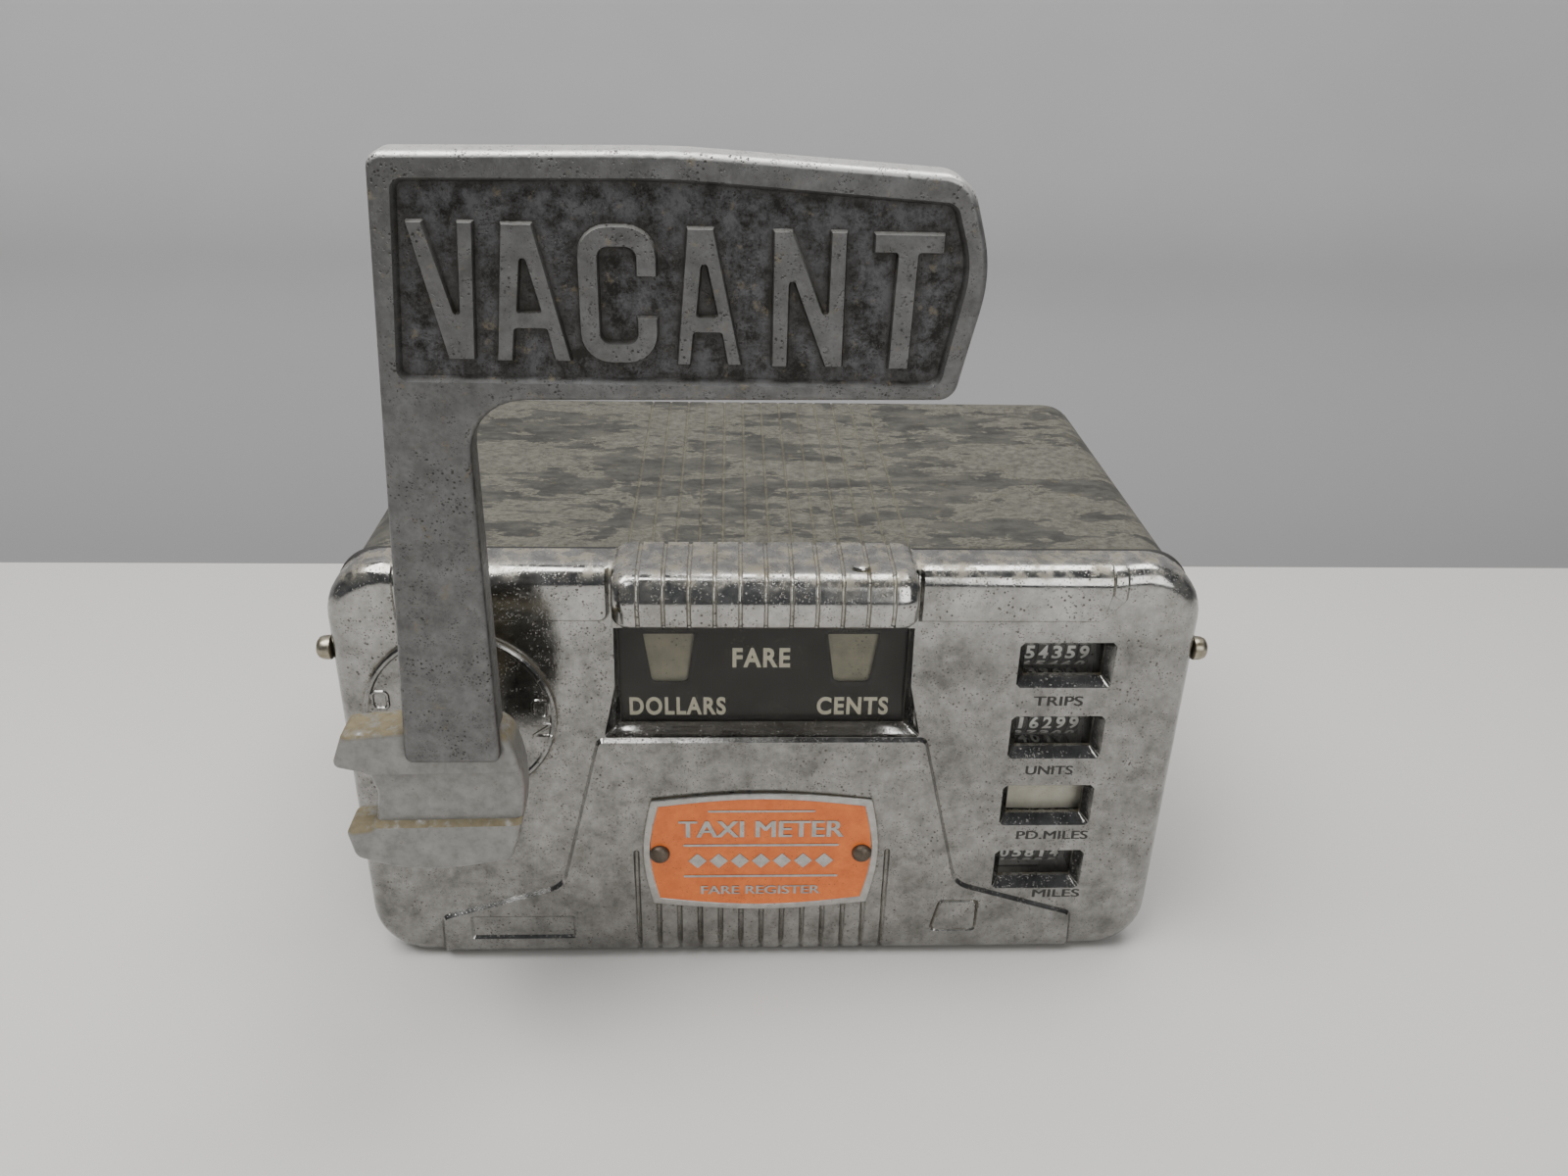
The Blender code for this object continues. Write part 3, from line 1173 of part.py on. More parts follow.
def build():
    for obj in list(bpy.data.objects):
        bpy.data.objects.remove(obj, do_unlink=True)
    build_casework()
    build_flag()
    build_drums()
    for row, name in enumerate(COUNTER_NAMES):
        counter_wheels(name, row)


build()
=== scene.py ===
"""Looks of the taxi meter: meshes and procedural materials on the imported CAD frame. Metres, +Z up."""

import math

import bmesh
import bpy
import numpy as np
from mathutils import Matrix, Vector
from mathutils.geometry import delaunay_2d_cdt


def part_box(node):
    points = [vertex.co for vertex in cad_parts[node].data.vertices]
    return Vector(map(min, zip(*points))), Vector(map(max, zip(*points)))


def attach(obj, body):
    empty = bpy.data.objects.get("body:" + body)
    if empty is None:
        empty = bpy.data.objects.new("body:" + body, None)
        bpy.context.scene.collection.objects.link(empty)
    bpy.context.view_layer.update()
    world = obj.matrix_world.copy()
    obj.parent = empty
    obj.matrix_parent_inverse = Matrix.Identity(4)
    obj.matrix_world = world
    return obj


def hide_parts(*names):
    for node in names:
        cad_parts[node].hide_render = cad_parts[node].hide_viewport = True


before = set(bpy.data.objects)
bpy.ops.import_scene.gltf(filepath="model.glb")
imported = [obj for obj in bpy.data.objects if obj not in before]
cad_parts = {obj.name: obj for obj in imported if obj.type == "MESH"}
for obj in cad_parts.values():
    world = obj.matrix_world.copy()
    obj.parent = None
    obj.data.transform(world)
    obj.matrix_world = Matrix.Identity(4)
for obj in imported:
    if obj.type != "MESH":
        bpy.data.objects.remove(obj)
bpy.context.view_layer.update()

MM = 0.001
HAIR = 0.0003  # the gap between two pieces that seat on each other


# ---- Places read from the frame ----
def middle(node):
    low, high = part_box(node)
    return (low + high) / 2


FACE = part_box("shaft_bush")[0].y
COVER_LOW, COVER_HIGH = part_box("front_cover")
COVER_BACK = COVER_HIGH.y
CASE_LOW, CASE_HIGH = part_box("case_shell")
GLASS_LOW, GLASS_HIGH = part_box("window_glass")
MASK_LOW, MASK_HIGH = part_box("dial_mask")
HOOD_LOW, HOOD_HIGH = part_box("lamp_hood")
PLATE_LOW, PLATE_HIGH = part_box("name_plate")
DISC_LOW, DISC_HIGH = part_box("position_disc")
HUB_LOW, HUB_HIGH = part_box("handle_hub")
ARM_LOW, ARM_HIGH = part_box("flag_arm")
SHAFT = middle("flag_shaft")
FASCIA = middle("window_glass").x
COUNTERS = ("trips", "units", "paid_miles", "miles")
COUNTER_X = middle("counter_glass").x
COUNTER_Z = [middle(name + "_wheel_3").z for name in COUNTERS]
DRUM_Z = middle("dollars_drum").z
DOLLARS_X = middle("dollars_drum").x
CENTS_X = (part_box("cents_tens_drum")[0].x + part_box("cents_units_drum")[1].x) / 2

# ---- Sizes of the visible detail ----
COVER_CORNER = 16 * MM
COVER_EDGE = 6 * MM
RELIEF = 1.2 * MM
BEVEL = 0.9 * MM  # width of the slope round a raised panel
GLASS_MARGIN = 3 * MM
WINDOW_HALF = (GLASS_HIGH.x - GLASS_LOW.x) / 2 - GLASS_MARGIN
WINDOW_LOW = GLASS_LOW.z + GLASS_MARGIN
WINDOW_HIGH = GLASS_HIGH.z - GLASS_MARGIN
OPENING_Y = GLASS_LOW.y - 0.2 * MM
SILL_HALF = 43 * MM
SILL_LOW = 77.3 * MM
COUNTER_HALF = (10.75 * MM, 4.75 * MM)
COUNTER_BEVEL = 2.2 * MM
GROOVES = 13
GROOVE_PITCH = 5.95 * MM
GROOVE_HALF = 0.85 * MM
GROOVE_DEPTH = 0.75 * MM
GROOVE_TOP = 39.5 * MM
HOOD_GROOVES = 11
CASE_CORNER = 12 * MM
CASE_WALL = 2.5 * MM
CASE_GROOVE_PITCH = 6.16 * MM
READ_LOW = 0.30  # of a digit: the reading sits below the middle, for an eye above the meter
READINGS = {"trips": "54359", "units": "16299", "paid_miles": "07340", "miles": "05814"}


# ---- Lines in the plane ----
def mm(*corners):
    """Corners given in millimetres, in metres."""
    return [tuple(value * MM for value in corner) for corner in corners]


def around(steps):
    """The angles of equal steps round a circle."""
    return [2 * math.pi * step / steps for step in range(steps)]


def rotated(vector, angle):
    return Matrix.Rotation(angle, 2) @ vector


def outline(corners, steps=6):
    """A closed line through corners (u, v, radius), each corner with a radius turned into an arc."""
    line = []
    for index, (u, v, radius) in enumerate(corners):
        here = Vector((u, v))
        if radius <= 0:
            line.append(here)
            continue
        before = (Vector(corners[index - 1][:2]) - here).normalized()
        after = (Vector(corners[(index + 1) % len(corners)][:2]) - here).normalized()
        half = before.angle(after) / 2
        reach = radius / math.tan(half)
        centre = here + (before + after).normalized() * (radius / math.sin(half))
        first = here + before * reach - centre
        sweep = first.angle_signed(here + after * reach - centre)
        line += [centre + rotated(first, -sweep * step / steps) for step in range(steps + 1)]
    return line


def rectangle(left, right, low, high, radius=0.0, steps=6):
    corners = [(left, low), (right, low), (right, high), (left, high)]
    return outline([(u, v, radius) for u, v in corners], steps)


def circle(radius, steps=48, centre=(0, 0)):
    x, z = centre
    return [Vector((x + radius * math.cos(t), z + radius * math.sin(t))) for t in around(steps)]


def offset(line, distance):
    """The line moved to its left by a distance: inwards, for one that runs anticlockwise."""
    moved = []
    for index, here in enumerate(line):
        before = (here - line[index - 1]).normalized()
        after = (line[(index + 1) % len(line)] - here).normalized()
        along = before + after
        if along.length < 1e-9:
            along = before.copy()
        along.normalize()
        stretch = 1 / max(before.dot(along), 0.45)
        moved.append(here + Vector((-along.y, along.x)) * distance * stretch)
    return moved


# ---- Distances, for many points at once ----
def distance(points, line, closed=True):
    line = np.array([tuple(p)[:2] for p in line])
    ends = np.roll(line, -1, axis=0)
    if not closed:
        line, ends = line[:-1], ends[:-1]
    best = np.full(len(points), np.inf)
    for start, end in zip(line, ends):
        along = end - start
        share = np.clip((points - start) @ along / max(along @ along, 1e-18), 0, 1)
        away = points - start - share[:, None] * along
        best = np.minimum(best, np.hypot(away[:, 0], away[:, 1]))
    return best


def inside(points, line):
    line = np.array([tuple(p)[:2] for p in line])
    ends = np.roll(line, -1, axis=0)
    within = np.zeros(len(points), bool)
    for (x1, z1), (x2, z2) in zip(line, ends):
        if z1 == z2:
            continue
        crosses = (points[:, 1] < z1) != (points[:, 1] < z2)
        within ^= crosses & (points[:, 0] < (x2 - x1) * (points[:, 1] - z1) / (z2 - z1) + x1)
    return within


def depth_in(points, line):
    """How far inside a closed line each point is; negative outside it."""
    return np.where(inside(points, line), 1, -1) * distance(points, line)


def rise(depth, width):
    """0 outside an edge, 1 from a width inside it."""
    return np.clip(depth / width, 0, 1)


def round_edge(depth, radius):
    """How far a rounded edge falls back, at a depth inside the outline."""
    short = radius - np.clip(depth, 0, radius)
    return radius - np.sqrt(np.maximum(radius**2 - short**2, 0))


def round_loops(line_at, radius, steps):
    """Loops that follow a rounded edge, from a function of inset."""
    insets = [radius * (1 - math.sin(math.pi / 2 * step / steps)) for step in range(steps)]
    return [line_at(inset) for inset in insets[1:]] + [line_at(radius)]


# ---- Meshes ----
def relief(outer, front, back, holes=(), loops=(), lines=(), hole_back=None, cap=True):
    """(vertices, faces) of a plate in x and z, from y = front(points) to y = back(points)."""
    points, edges = [], []
    for loop, closed in [(l, True) for l in (outer, *holes, *loops)] + [(l, False) for l in lines]:
        start = len(points)
        points += [Vector((p[0], p[1])) / MM for p in loop]
        edges += [(start + i, start + i + 1) for i in range(len(loop) - 1)]
        if closed:
            edges.append((len(points) - 1, start))
    verts, _, faces, _, _, _ = delaunay_2d_cdt(points, edges, [], 0, 1e-5)
    flat = np.array([tuple(v) for v in verts]) * MM
    faces = np.array([f for f in faces if len(f) == 3])
    middles = flat[faces].mean(axis=1)
    keep = inside(middles, outer)
    for hole in holes:
        keep &= ~inside(middles, hole)
    faces = faces[keep]
    corners = flat[faces]
    side, other = corners[:, 1] - corners[:, 0], corners[:, 2] - corners[:, 0]
    area = side[:, 0] * other[:, 1] - side[:, 1] * other[:, 0]
    faces = faces[np.abs(area) > 1e-14]
    area = area[np.abs(area) > 1e-14]
    faces[area < 0] = faces[area < 0][:, ::-1]
    used, faces = np.unique(faces, return_inverse=True)
    faces = faces.reshape(-1, 3)
    flat = flat[used]
    front_y = front(flat)
    back_y = back(flat) if callable(back) else np.full(len(flat), back)
    if hole_back is not None:
        back_y = np.where(distance(flat, outer) > 1e-6, hole_back, back_y)
    count = len(flat)
    vertices = [(x, y, z) for side_y in (front_y, back_y) for (x, z), y in zip(flat, side_y)]
    directed = {(f[i - 1], f[i]) for f in faces.tolist() for i in range(3)}
    rim = [(a, b) for a, b in directed if (b, a) not in directed]
    polygons = faces.tolist() + [(b, a, a + count, b + count) for a, b in sorted(rim)]
    if cap:
        polygons += [(c + count, b + count, a + count) for a, b, c in faces.tolist()]
    return vertices, polygons


def level(y):
    """A front for relief() that is flat, at one y."""
    return lambda points: np.full(len(points), y)


def loft(rings, closed=True, caps=True):
    """(vertices, faces) through equal rings of 3-D points."""
    count = len(rings[0])
    vertices = [tuple(p) for ring in rings for p in ring]
    faces = []
    for row in range(len(rings) - 1):
        for i in range(count if closed else count - 1):
            a, b = row * count + i, row * count + (i + 1) % count
            faces.append((a, b, b + count, a + count))
    if caps:
        faces.append(tuple(range(count))[::-1])
        faces.append(tuple(range((len(rings) - 1) * count, len(rings) * count)))
    return vertices, faces


def turned(profile, steps=48):
    """(vertices, faces) turned round Z from a profile of (radius, z), which starts and ends on the axis."""
    vertices, faces, rings = [], [], []
    for radius, z in profile:
        count = 1 if radius == 0 else steps
        rings.append([len(vertices) + i for i in range(count)])
        vertices += [(radius * math.cos(t), radius * math.sin(t), z) for t in around(count)]
    for low, high in zip(rings, rings[1:]):
        for i in range(steps):
            corners = [low[i % len(low)], low[(i + 1) % len(low)]]
            corners += [high[(i + 1) % len(high)], high[i % len(high)]]
            corners = list(dict.fromkeys(corners))
            if len(corners) > 2:
                faces.append(corners)
    return vertices, faces


def shifted(shape, matrix):
    vertices, faces = shape
    moved = [tuple(matrix @ Vector(v)) for v in vertices]
    return moved, [tuple(f) for f in faces]


def joined(*shapes):
    vertices, faces = [], []
    for more, polygons in shapes:
        start = len(vertices)
        vertices += more
        faces += [tuple(i + start for i in f) for f in polygons]
    return vertices, faces


AXIS_Y = Matrix.Rotation(math.pi / 2, 4, "X")  # turns +Z to -Y, towards the viewer
AXIS_BACK = Matrix.Rotation(-math.pi / 2, 4, "X")
AXIS_RIGHT = Matrix.Rotation(math.pi / 2, 4, "Y")
AXIS_LEFT = Matrix.Rotation(-math.pi / 2, 4, "Y")


def placed(x, y, z, turn=None):
    move = Matrix.Translation((x, y, z))
    return move @ turn if turn else move


def piece(name, shape, paint, body, replaces=(), place=None, sharp=35, tidy=True):
    """A finished piece: smooth, with its sharp edges kept, riding on a body."""
    mesh = bpy.data.meshes.new(name)
    vertices, faces = shape
    mesh.from_pydata(vertices, [], faces)
    if tidy:
        bm = bmesh.new()
        bm.from_mesh(mesh)
        bmesh.ops.recalc_face_normals(bm, faces=bm.faces)
        bm.to_mesh(mesh)
        bm.free()
    mesh.materials.append(paint)
    mesh.shade_smooth()
    mesh.set_sharp_from_angle(angle=math.radians(sharp))
    obj = bpy.data.objects.new(name, mesh)
    if place:
        obj.matrix_world = place
    bpy.context.scene.collection.objects.link(obj)
    weighted = obj.modifiers.new("weighted", "WEIGHTED_NORMAL")
    weighted.keep_sharp = True
    weighted.weight = 60
    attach(obj, body)
    if replaces:
        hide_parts(*replaces)
    return obj


def glyphs(text, width, height, thickness, weight=0.0, slices=0, spacing=1.0):
    """(vertices, faces) of generic lettering in x and y, centred, scaled to a width and height."""
    curve = bpy.data.curves.new("glyphs", "FONT")
    curve.body = text
    curve.offset = weight
    curve.space_character = spacing
    curve.extrude = 0.1
    obj = bpy.data.objects.new("glyphs", curve)
    bpy.context.scene.collection.objects.link(obj)
    bpy.context.view_layer.update()
    mesh = bpy.data.meshes.new_from_object(obj.evaluated_get(bpy.context.evaluated_depsgraph_get()))
    bpy.data.objects.remove(obj)
    bm = bmesh.new()
    bm.from_mesh(mesh)
    bmesh.ops.remove_doubles(bm, verts=bm.verts, dist=1e-5)
    points = np.array([v.co for v in bm.verts])
    low, high = points.min(axis=0), points.max(axis=0)
    size = (width, height, thickness)
    for vert in bm.verts:
        vert.co = Vector([(c - (a + b) / 2) / (b - a) * s for c, a, b, s in zip(vert.co, low, high, size)])
    for step in range(1, slices):
        cut = (0, height * (step / slices - 0.5), 0)
        geometry = [*bm.verts, *bm.edges, *bm.faces]
        bmesh.ops.bisect_plane(bm, geom=geometry, plane_co=cut, plane_no=(0, 1, 0), dist=1e-8)
    bm.verts.index_update()
    shape = [tuple(v.co) for v in bm.verts], [tuple(v.index for v in f.verts) for f in bm.faces]
    bm.free()
    return shape


def struck(shape, spread):
    """Lettering struck twice, a little to each side, which thickens its strokes."""
    left = shifted(shape, Matrix.Translation((-spread, 0, 0)))
    right = shifted(shape, Matrix.Translation((spread, 0, 0.01 * MM)))
    return joined(left, right)


def wrapped(shape, radius, turn):
    """Lettering wrapped round a drum whose axis is X, its middle at a turn above the front."""
    vertices = []
    for u, v, w in shape[0]:
        angle = turn + v / radius
        vertices.append((u, -(radius + w) * math.cos(angle), (radius + w) * math.sin(angle)))
    return vertices, shape[1]


# ---- Materials ----
class Paint:
    """One material's nodes, built from the object's own coordinates."""

    def __init__(self, name, color=(0.5, 0.5, 0.5), roughness=0.5, metallic=0.0):
        self.material = bpy.data.materials.new(name)
        self.material.use_nodes = True
        self.tree = self.material.node_tree
        self.shader = self.tree.nodes["Principled BSDF"]
        self.coordinates = self.tree.nodes.new("ShaderNodeTexCoord").outputs["Object"]
        self.set(color=color, roughness=roughness, metallic=metallic)
        self.normal = None

    def put(self, socket, value):
        if isinstance(value, bpy.types.NodeSocket):
            self.tree.links.new(value, socket)
        elif isinstance(value, tuple) and len(value) == 3 and len(socket.default_value) == 4:
            socket.default_value = (*value, 1)
        else:
            socket.default_value = value

    def set(self, **values):
        names = {"color": "Base Color", "roughness": "Roughness", "metallic": "Metallic"}
        for key, value in values.items():
            self.put(self.shader.inputs[names.get(key, key)], value)

    def stretched(self, scale):
        mapping = self.tree.nodes.new("ShaderNodeMapping")
        self.tree.links.new(self.coordinates, mapping.inputs["Vector"])
        mapping.inputs["Scale"].default_value = scale
        return mapping.outputs["Vector"]

    def noise(self, size, detail=4, rough=0.6, stretch=None, twist=0.0):
        """Cloudy variation with features of about a size in metres."""
        node = self.tree.nodes.new("ShaderNodeTexNoise")
        self.put(node.inputs["Vector"], self.stretched(stretch) if stretch else self.coordinates)
        node.inputs["Scale"].default_value = 1 / size
        node.inputs["Detail"].default_value = detail
        node.inputs["Roughness"].default_value = rough
        node.inputs["Distortion"].default_value = twist
        return node.outputs["Fac"]

    def specks(self, size, share, soft=0.08):
        """1 on scattered round specks of about a size, 0 between them."""
        node = self.tree.nodes.new("ShaderNodeTexVoronoi")
        self.put(node.inputs["Vector"], self.coordinates)
        node.inputs["Scale"].default_value = 1 / size
        near = self.span(node.outputs["Distance"], share + soft, share)
        return self.times(near, self.span(self.noise(size * 6, 2), 0.45, 0.62))

    def span(self, value, low, high, to_low=0.0, to_high=1.0):
        node = self.tree.nodes.new("ShaderNodeMapRange")
        self.put(node.inputs["Value"], value)
        for name, number in (("From Min", low), ("From Max", high), ("To Min", to_low), ("To Max", to_high)):
            node.inputs[name].default_value = number
        return node.outputs["Result"]

    def cloud(self, low, high, size, detail=4, rough=0.6, **shape):
        """Cloudy variation, spread so that low becomes 0 and high becomes 1."""
        return self.span(self.noise(size, detail, rough, **shape), low, high)

    def maths(self, operation, a, b):
        node = self.tree.nodes.new("ShaderNodeMath")
        node.operation = operation
        self.put(node.inputs[0], a)
        self.put(node.inputs[1], b)
        return node.outputs["Value"]

    def times(self, a, b):
        return self.maths("MULTIPLY", a, b)

    def most(self, a, b):
        return self.maths("MAXIMUM", a, b)

    def mix(self, share, a, b):
        node = self.tree.nodes.new("ShaderNodeMix")
        node.data_type = "RGBA"
        self.put(node.inputs["Factor"], share)
        self.put(node.inputs[6], a)
        self.put(node.inputs[7], b)
        return node.outputs[2]

    def crevice(self, reach, low=0.75, high=0.35):
        """1 in corners and grooves narrower than a reach, 0 in the open."""
        node = self.tree.nodes.new("ShaderNodeAmbientOcclusion")
        node.samples = 6
        node.inputs["Distance"].default_value = reach
        return self.span(node.outputs["AO"], low, high)

    def facing(self, axis, low, high):
        """1 where the surface faces along an axis of the object, so that dirt and painted highlights stay put
        when it moves.
        """
        node = self.tree.nodes.new("ShaderNodeTexCoord")
        split = self.tree.nodes.new("ShaderNodeSeparateXYZ")
        self.tree.links.new(node.outputs["Normal"], split.inputs[0])
        return self.span(split.outputs[axis], low, high)

    def height(self, axis, low, high):
        """From 0 to 1 between two places along an axis of the object."""
        split = self.tree.nodes.new("ShaderNodeSeparateXYZ")
        self.tree.links.new(self.coordinates, split.inputs[0])
        return self.span(split.outputs[axis], low, high)

    def bump(self, height, depth, strength=1.0):
        node = self.tree.nodes.new("ShaderNodeBump")
        self.put(node.inputs["Height"], height)
        node.inputs["Distance"].default_value = depth
        node.inputs["Strength"].default_value = strength
        if self.normal:
            self.tree.links.new(self.normal, node.inputs["Normal"])
        self.normal = node.outputs["Normal"]
        self.put(self.shader.inputs["Normal"], self.normal)


DIRT_AND_SHADE = (0.105, 0.085, 0.045)
KHAKI = (0.24, 0.20, 0.12)
SOOT_AND_SHADE = (0.025, 0.022, 0.018)


def chrome():
    """Worn chrome: dull patches, dark pits, khaki and dark dirt with painted shade in its grooves, khaki dirt
    on its upward ledges; below 104 mm it is painted darker, a painted shade.
    """
    paint = Paint("worn_chrome", metallic=1.0)
    patches = paint.noise(9 * MM, 12, 0.78)
    base = paint.mix(paint.span(patches, 0.36, 0.64), (0.27, 0.265, 0.248), (0.50, 0.495, 0.475))
    # Painted shade: a darker copy of the chrome's tones, used below 104 mm; the lighter copy stays near the
    # top.
    painted_shade_tone = paint.mix(paint.span(patches, 0.36, 0.64), (0.15, 0.147, 0.138), (0.36, 0.355, 0.34))
    base = paint.mix(paint.height(2, 104 * MM, 116 * MM), painted_shade_tone, base)
    pits = paint.most(paint.specks(1.6 * MM, 0.15), paint.specks(0.7 * MM, 0.2))
    haze = paint.cloud(0.56, 0.68, 2.2 * MM, 8, 0.8, stretch=(1.0, 1.0, 0.3))
    base = paint.mix(paint.times(haze, 0.35), base, (0.16, 0.15, 0.125))
    base = paint.mix(pits, base, (0.07, 0.06, 0.05))
    # Ambient occlusion darkens grooves and corners with dirt colour: real dirt and painted shade.
    grime_and_shade = paint.times(paint.crevice(2.5 * MM, 0.82, 0.4), paint.cloud(0.3, 0.5, 3 * MM))
    groove_dirt_and_shade = paint.mix(paint.height(2, 113 * MM, 117 * MM), DIRT_AND_SHADE, (0.25, 0.23, 0.165))
    base = paint.mix(grime_and_shade, base, groove_dirt_and_shade)
    ledges = paint.times(paint.facing(2, 0.25, 0.7), paint.cloud(0.42, 0.62, 5 * MM, 5))
    ledges = paint.times(ledges, paint.height(2, 118 * MM, 124 * MM))
    base = paint.mix(paint.times(ledges, 0.6), base, KHAKI)
    dull = paint.most(grime_and_shade, paint.times(ledges, 0.6))
    metal = paint.span(paint.most(dull, pits), 0.0, 1.0, 1.0, 0.15)
    rough = paint.span(paint.noise(6 * MM, 6, 0.7), 0.3, 0.75, 0.07, 0.27)
    rough = paint.most(rough, paint.span(dull, 0, 1, 0, 0.75))
    paint.set(color=base, metallic=metal, roughness=rough)
    paint.bump(paint.noise(18 * MM, 3), 0.25 * MM, 0.35)
    paint.bump(paint.noise(0.8 * MM, 4), 0.02 * MM, 0.5)
    paint.bump(pits, -0.06 * MM, 0.8)
    return paint.material


def flag_metal(face):
    """Sand-cast metal: a dark, pitted recess round brighter letters, and upper edges painted pale grey, a
    painted highlight.
    """
    paint = Paint("cast_flag", metallic=0.75)
    cloud = paint.noise(6 * MM, 12, 0.8)
    proud = paint.mix(paint.span(cloud, 0.35, 0.65), (0.10, 0.099, 0.096), (0.19, 0.19, 0.189))
    sunk = paint.mix(paint.span(cloud, 0.42, 0.58), (0.020, 0.019, 0.017), (0.12, 0.12, 0.125))
    floor = paint.height(1, face + 0.7 * MM, face + 1.5 * MM)
    floor = paint.times(floor, paint.height(1, face + 2.5 * MM, face + 2.1 * MM))
    base = paint.mix(floor, proud, sunk)
    # Painted highlight: upward-facing edges near the flag's top are painted pale grey, as if lit from above.
    wear_and_highlight = paint.times(paint.facing(2, 0.15, 0.6), paint.height(2, 0.2, 0.215))
    base = paint.mix(wear_and_highlight, base, (0.62, 0.61, 0.58))
    pits = paint.most(paint.specks(1.1 * MM, 0.2), paint.specks(0.55 * MM, 0.22))
    base = paint.mix(pits, base, SOOT_AND_SHADE)
    # Ambient occlusion darkens the corners round the letters and rims: dirt and painted shade.
    corner = paint.crevice(4 * MM, 0.93, 0.55)
    grime_and_shade = paint.times(corner, paint.cloud(0.22, 0.45, 2 * MM, 5))
    base = paint.mix(grime_and_shade, base, (0.022, 0.019, 0.014))
    stains = paint.cloud(0.60, 0.67, 3.5 * MM, 6, 0.7)
    base = paint.mix(paint.times(stains, 0.6), base, (0.13, 0.105, 0.06))
    dull = paint.most(grime_and_shade, paint.most(pits, stains))
    paint.set(color=base, metallic=paint.span(dull, 0, 1, 0.78, 0.1))
    paint.set(roughness=paint.span(paint.noise(2 * MM, 5), 0.3, 0.7, 0.33, 0.55))
    paint.bump(paint.noise(1.2 * MM, 5, 0.7), 0.08 * MM, 0.6)
    paint.bump(pits, -0.15 * MM, 0.9)
    return paint.material


def hub_paint():
    """Silver-grey paint with yellow-brown dirt crusted on its upward faces, and dark dirt with painted shade
    in its corners.
    """
    paint = Paint("hub_paint", metallic=0.6)
    base = paint.mix(paint.cloud(0.3, 0.7, 4 * MM, 6, 0.7), (0.17, 0.168, 0.158), (0.30, 0.298, 0.285))
    wear_and_highlight = paint.times(paint.cloud(0.60, 0.66, 2 * MM, 6, 0.75), 0.6)
    base = paint.mix(wear_and_highlight, base, (0.11, 0.095, 0.068))
    ledges = paint.times(paint.facing(2, 0.15, 0.55), paint.cloud(0.3, 0.5, 3 * MM, 5))
    dirt = paint.mix(paint.noise(2 * MM), (0.22, 0.185, 0.105), (0.075, 0.058, 0.034))
    base = paint.mix(ledges, base, dirt)
    # Ambient occlusion darkens the corners: dirt and painted shade.
    grime_and_shade = paint.times(paint.crevice(4 * MM, 0.85, 0.4), 0.85)
    base = paint.mix(grime_and_shade, base, (0.05, 0.04, 0.03))
    dull = paint.most(ledges, paint.most(grime_and_shade, wear_and_highlight))
    paint.set(color=base, metallic=paint.span(dull, 0, 1, 0.6, 0.0))
    paint.set(roughness=paint.span(dull, 0, 1, 0.38, 0.8))
    paint.bump(paint.noise(1.5 * MM, 5, 0.65), 0.1 * MM, 0.6)
    return paint.material


def case_paint():
    """Olive-grey paint that flakes away in streaks along the case."""
    paint = Paint("case_paint", metallic=0.0)
    streaks = paint.noise(15 * MM, 12, 0.74, stretch=(0.45, 1.0, 1.0), twist=0.2)
    flakes = paint.span(streaks, 0.53, 0.56)
    film = paint.cloud(0.42, 0.60, 7 * MM, 12, 0.8, stretch=(0.5, 1.0, 1.0))
    old = paint.mix(film, (0.022, 0.021, 0.017), (0.070, 0.067, 0.053))
    bare = paint.mix(paint.cloud(0.4, 0.6, 3 * MM, 8, 0.8), (0.055, 0.052, 0.041), (0.125, 0.119, 0.095))
    top = paint.height(2, 0.06, 0.124)
    base = paint.mix(paint.times(flakes, paint.span(top, 0, 1, 0.35, 1.0)), old, bare)
    rim = paint.times(paint.span(streaks, 0.50, 0.53), paint.span(streaks, 0.545, 0.53))
    base = paint.mix(paint.times(rim, 0.7), base, (0.19, 0.178, 0.135))
    rust = paint.cloud(0.63, 0.70, 5 * MM, 6, 0.7)
    base = paint.mix(paint.times(rust, 0.6), base, (0.11, 0.085, 0.045))
    dust = paint.times(paint.crevice(1.2 * MM, 0.9, 0.6), paint.cloud(0.35, 0.5, 2 * MM))
    base = paint.mix(paint.times(dust, 0.8), base, (0.155, 0.143, 0.10))
    paint.set(color=base, roughness=paint.span(streaks, 0.3, 0.7, 0.5, 0.8))
    paint.bump(flakes, 0.12 * MM, 0.8)
    paint.bump(paint.noise(1.0 * MM, 6, 0.75), 0.06 * MM, 0.7)
    return paint.material


def plain_metal(name, light, dark, roughness, metallic=1.0):
    """Handled metal: uneven colour, fine scratches and a little dirt with painted shade in the corners."""
    paint = Paint(name, metallic=metallic)
    base = paint.mix(paint.cloud(0.3, 0.7, 2.5 * MM, 5), dark, light)
    # Ambient occlusion darkens the corners: dirt and painted shade.
    grime_and_shade = paint.crevice(1.5 * MM, 0.8, 0.4)
    base = paint.mix(paint.times(grime_and_shade, 0.8), base, SOOT_AND_SHADE)
    rough = paint.span(paint.noise(1.2 * MM, 5), 0.3, 0.7, roughness * 0.7, roughness * 1.3)
    paint.set(color=base, roughness=rough)
    paint.bump(paint.noise(0.5 * MM, 4), 0.02 * MM, 0.6)
    return paint.material


def plain_paint(name, light, dark, roughness, grain=1.2 * MM, speck=SOOT_AND_SHADE):
    """Paint, enamel, rubber or moulding, with patches of wear and specks."""
    paint = Paint(name)
    base = paint.mix(paint.cloud(0.3, 0.7, grain * 4, 5, 0.65), dark, light)
    base = paint.mix(paint.specks(grain, 0.14), base, speck)
    roughest = min(roughness * 1.25, 1)
    rough = paint.span(paint.noise(grain * 2, 5), 0.3, 0.7, roughness * 0.8, roughest)
    paint.set(color=base, roughness=rough)
    paint.bump(paint.noise(grain * 0.5, 4), 0.03 * MM, 0.5)
    return paint.material


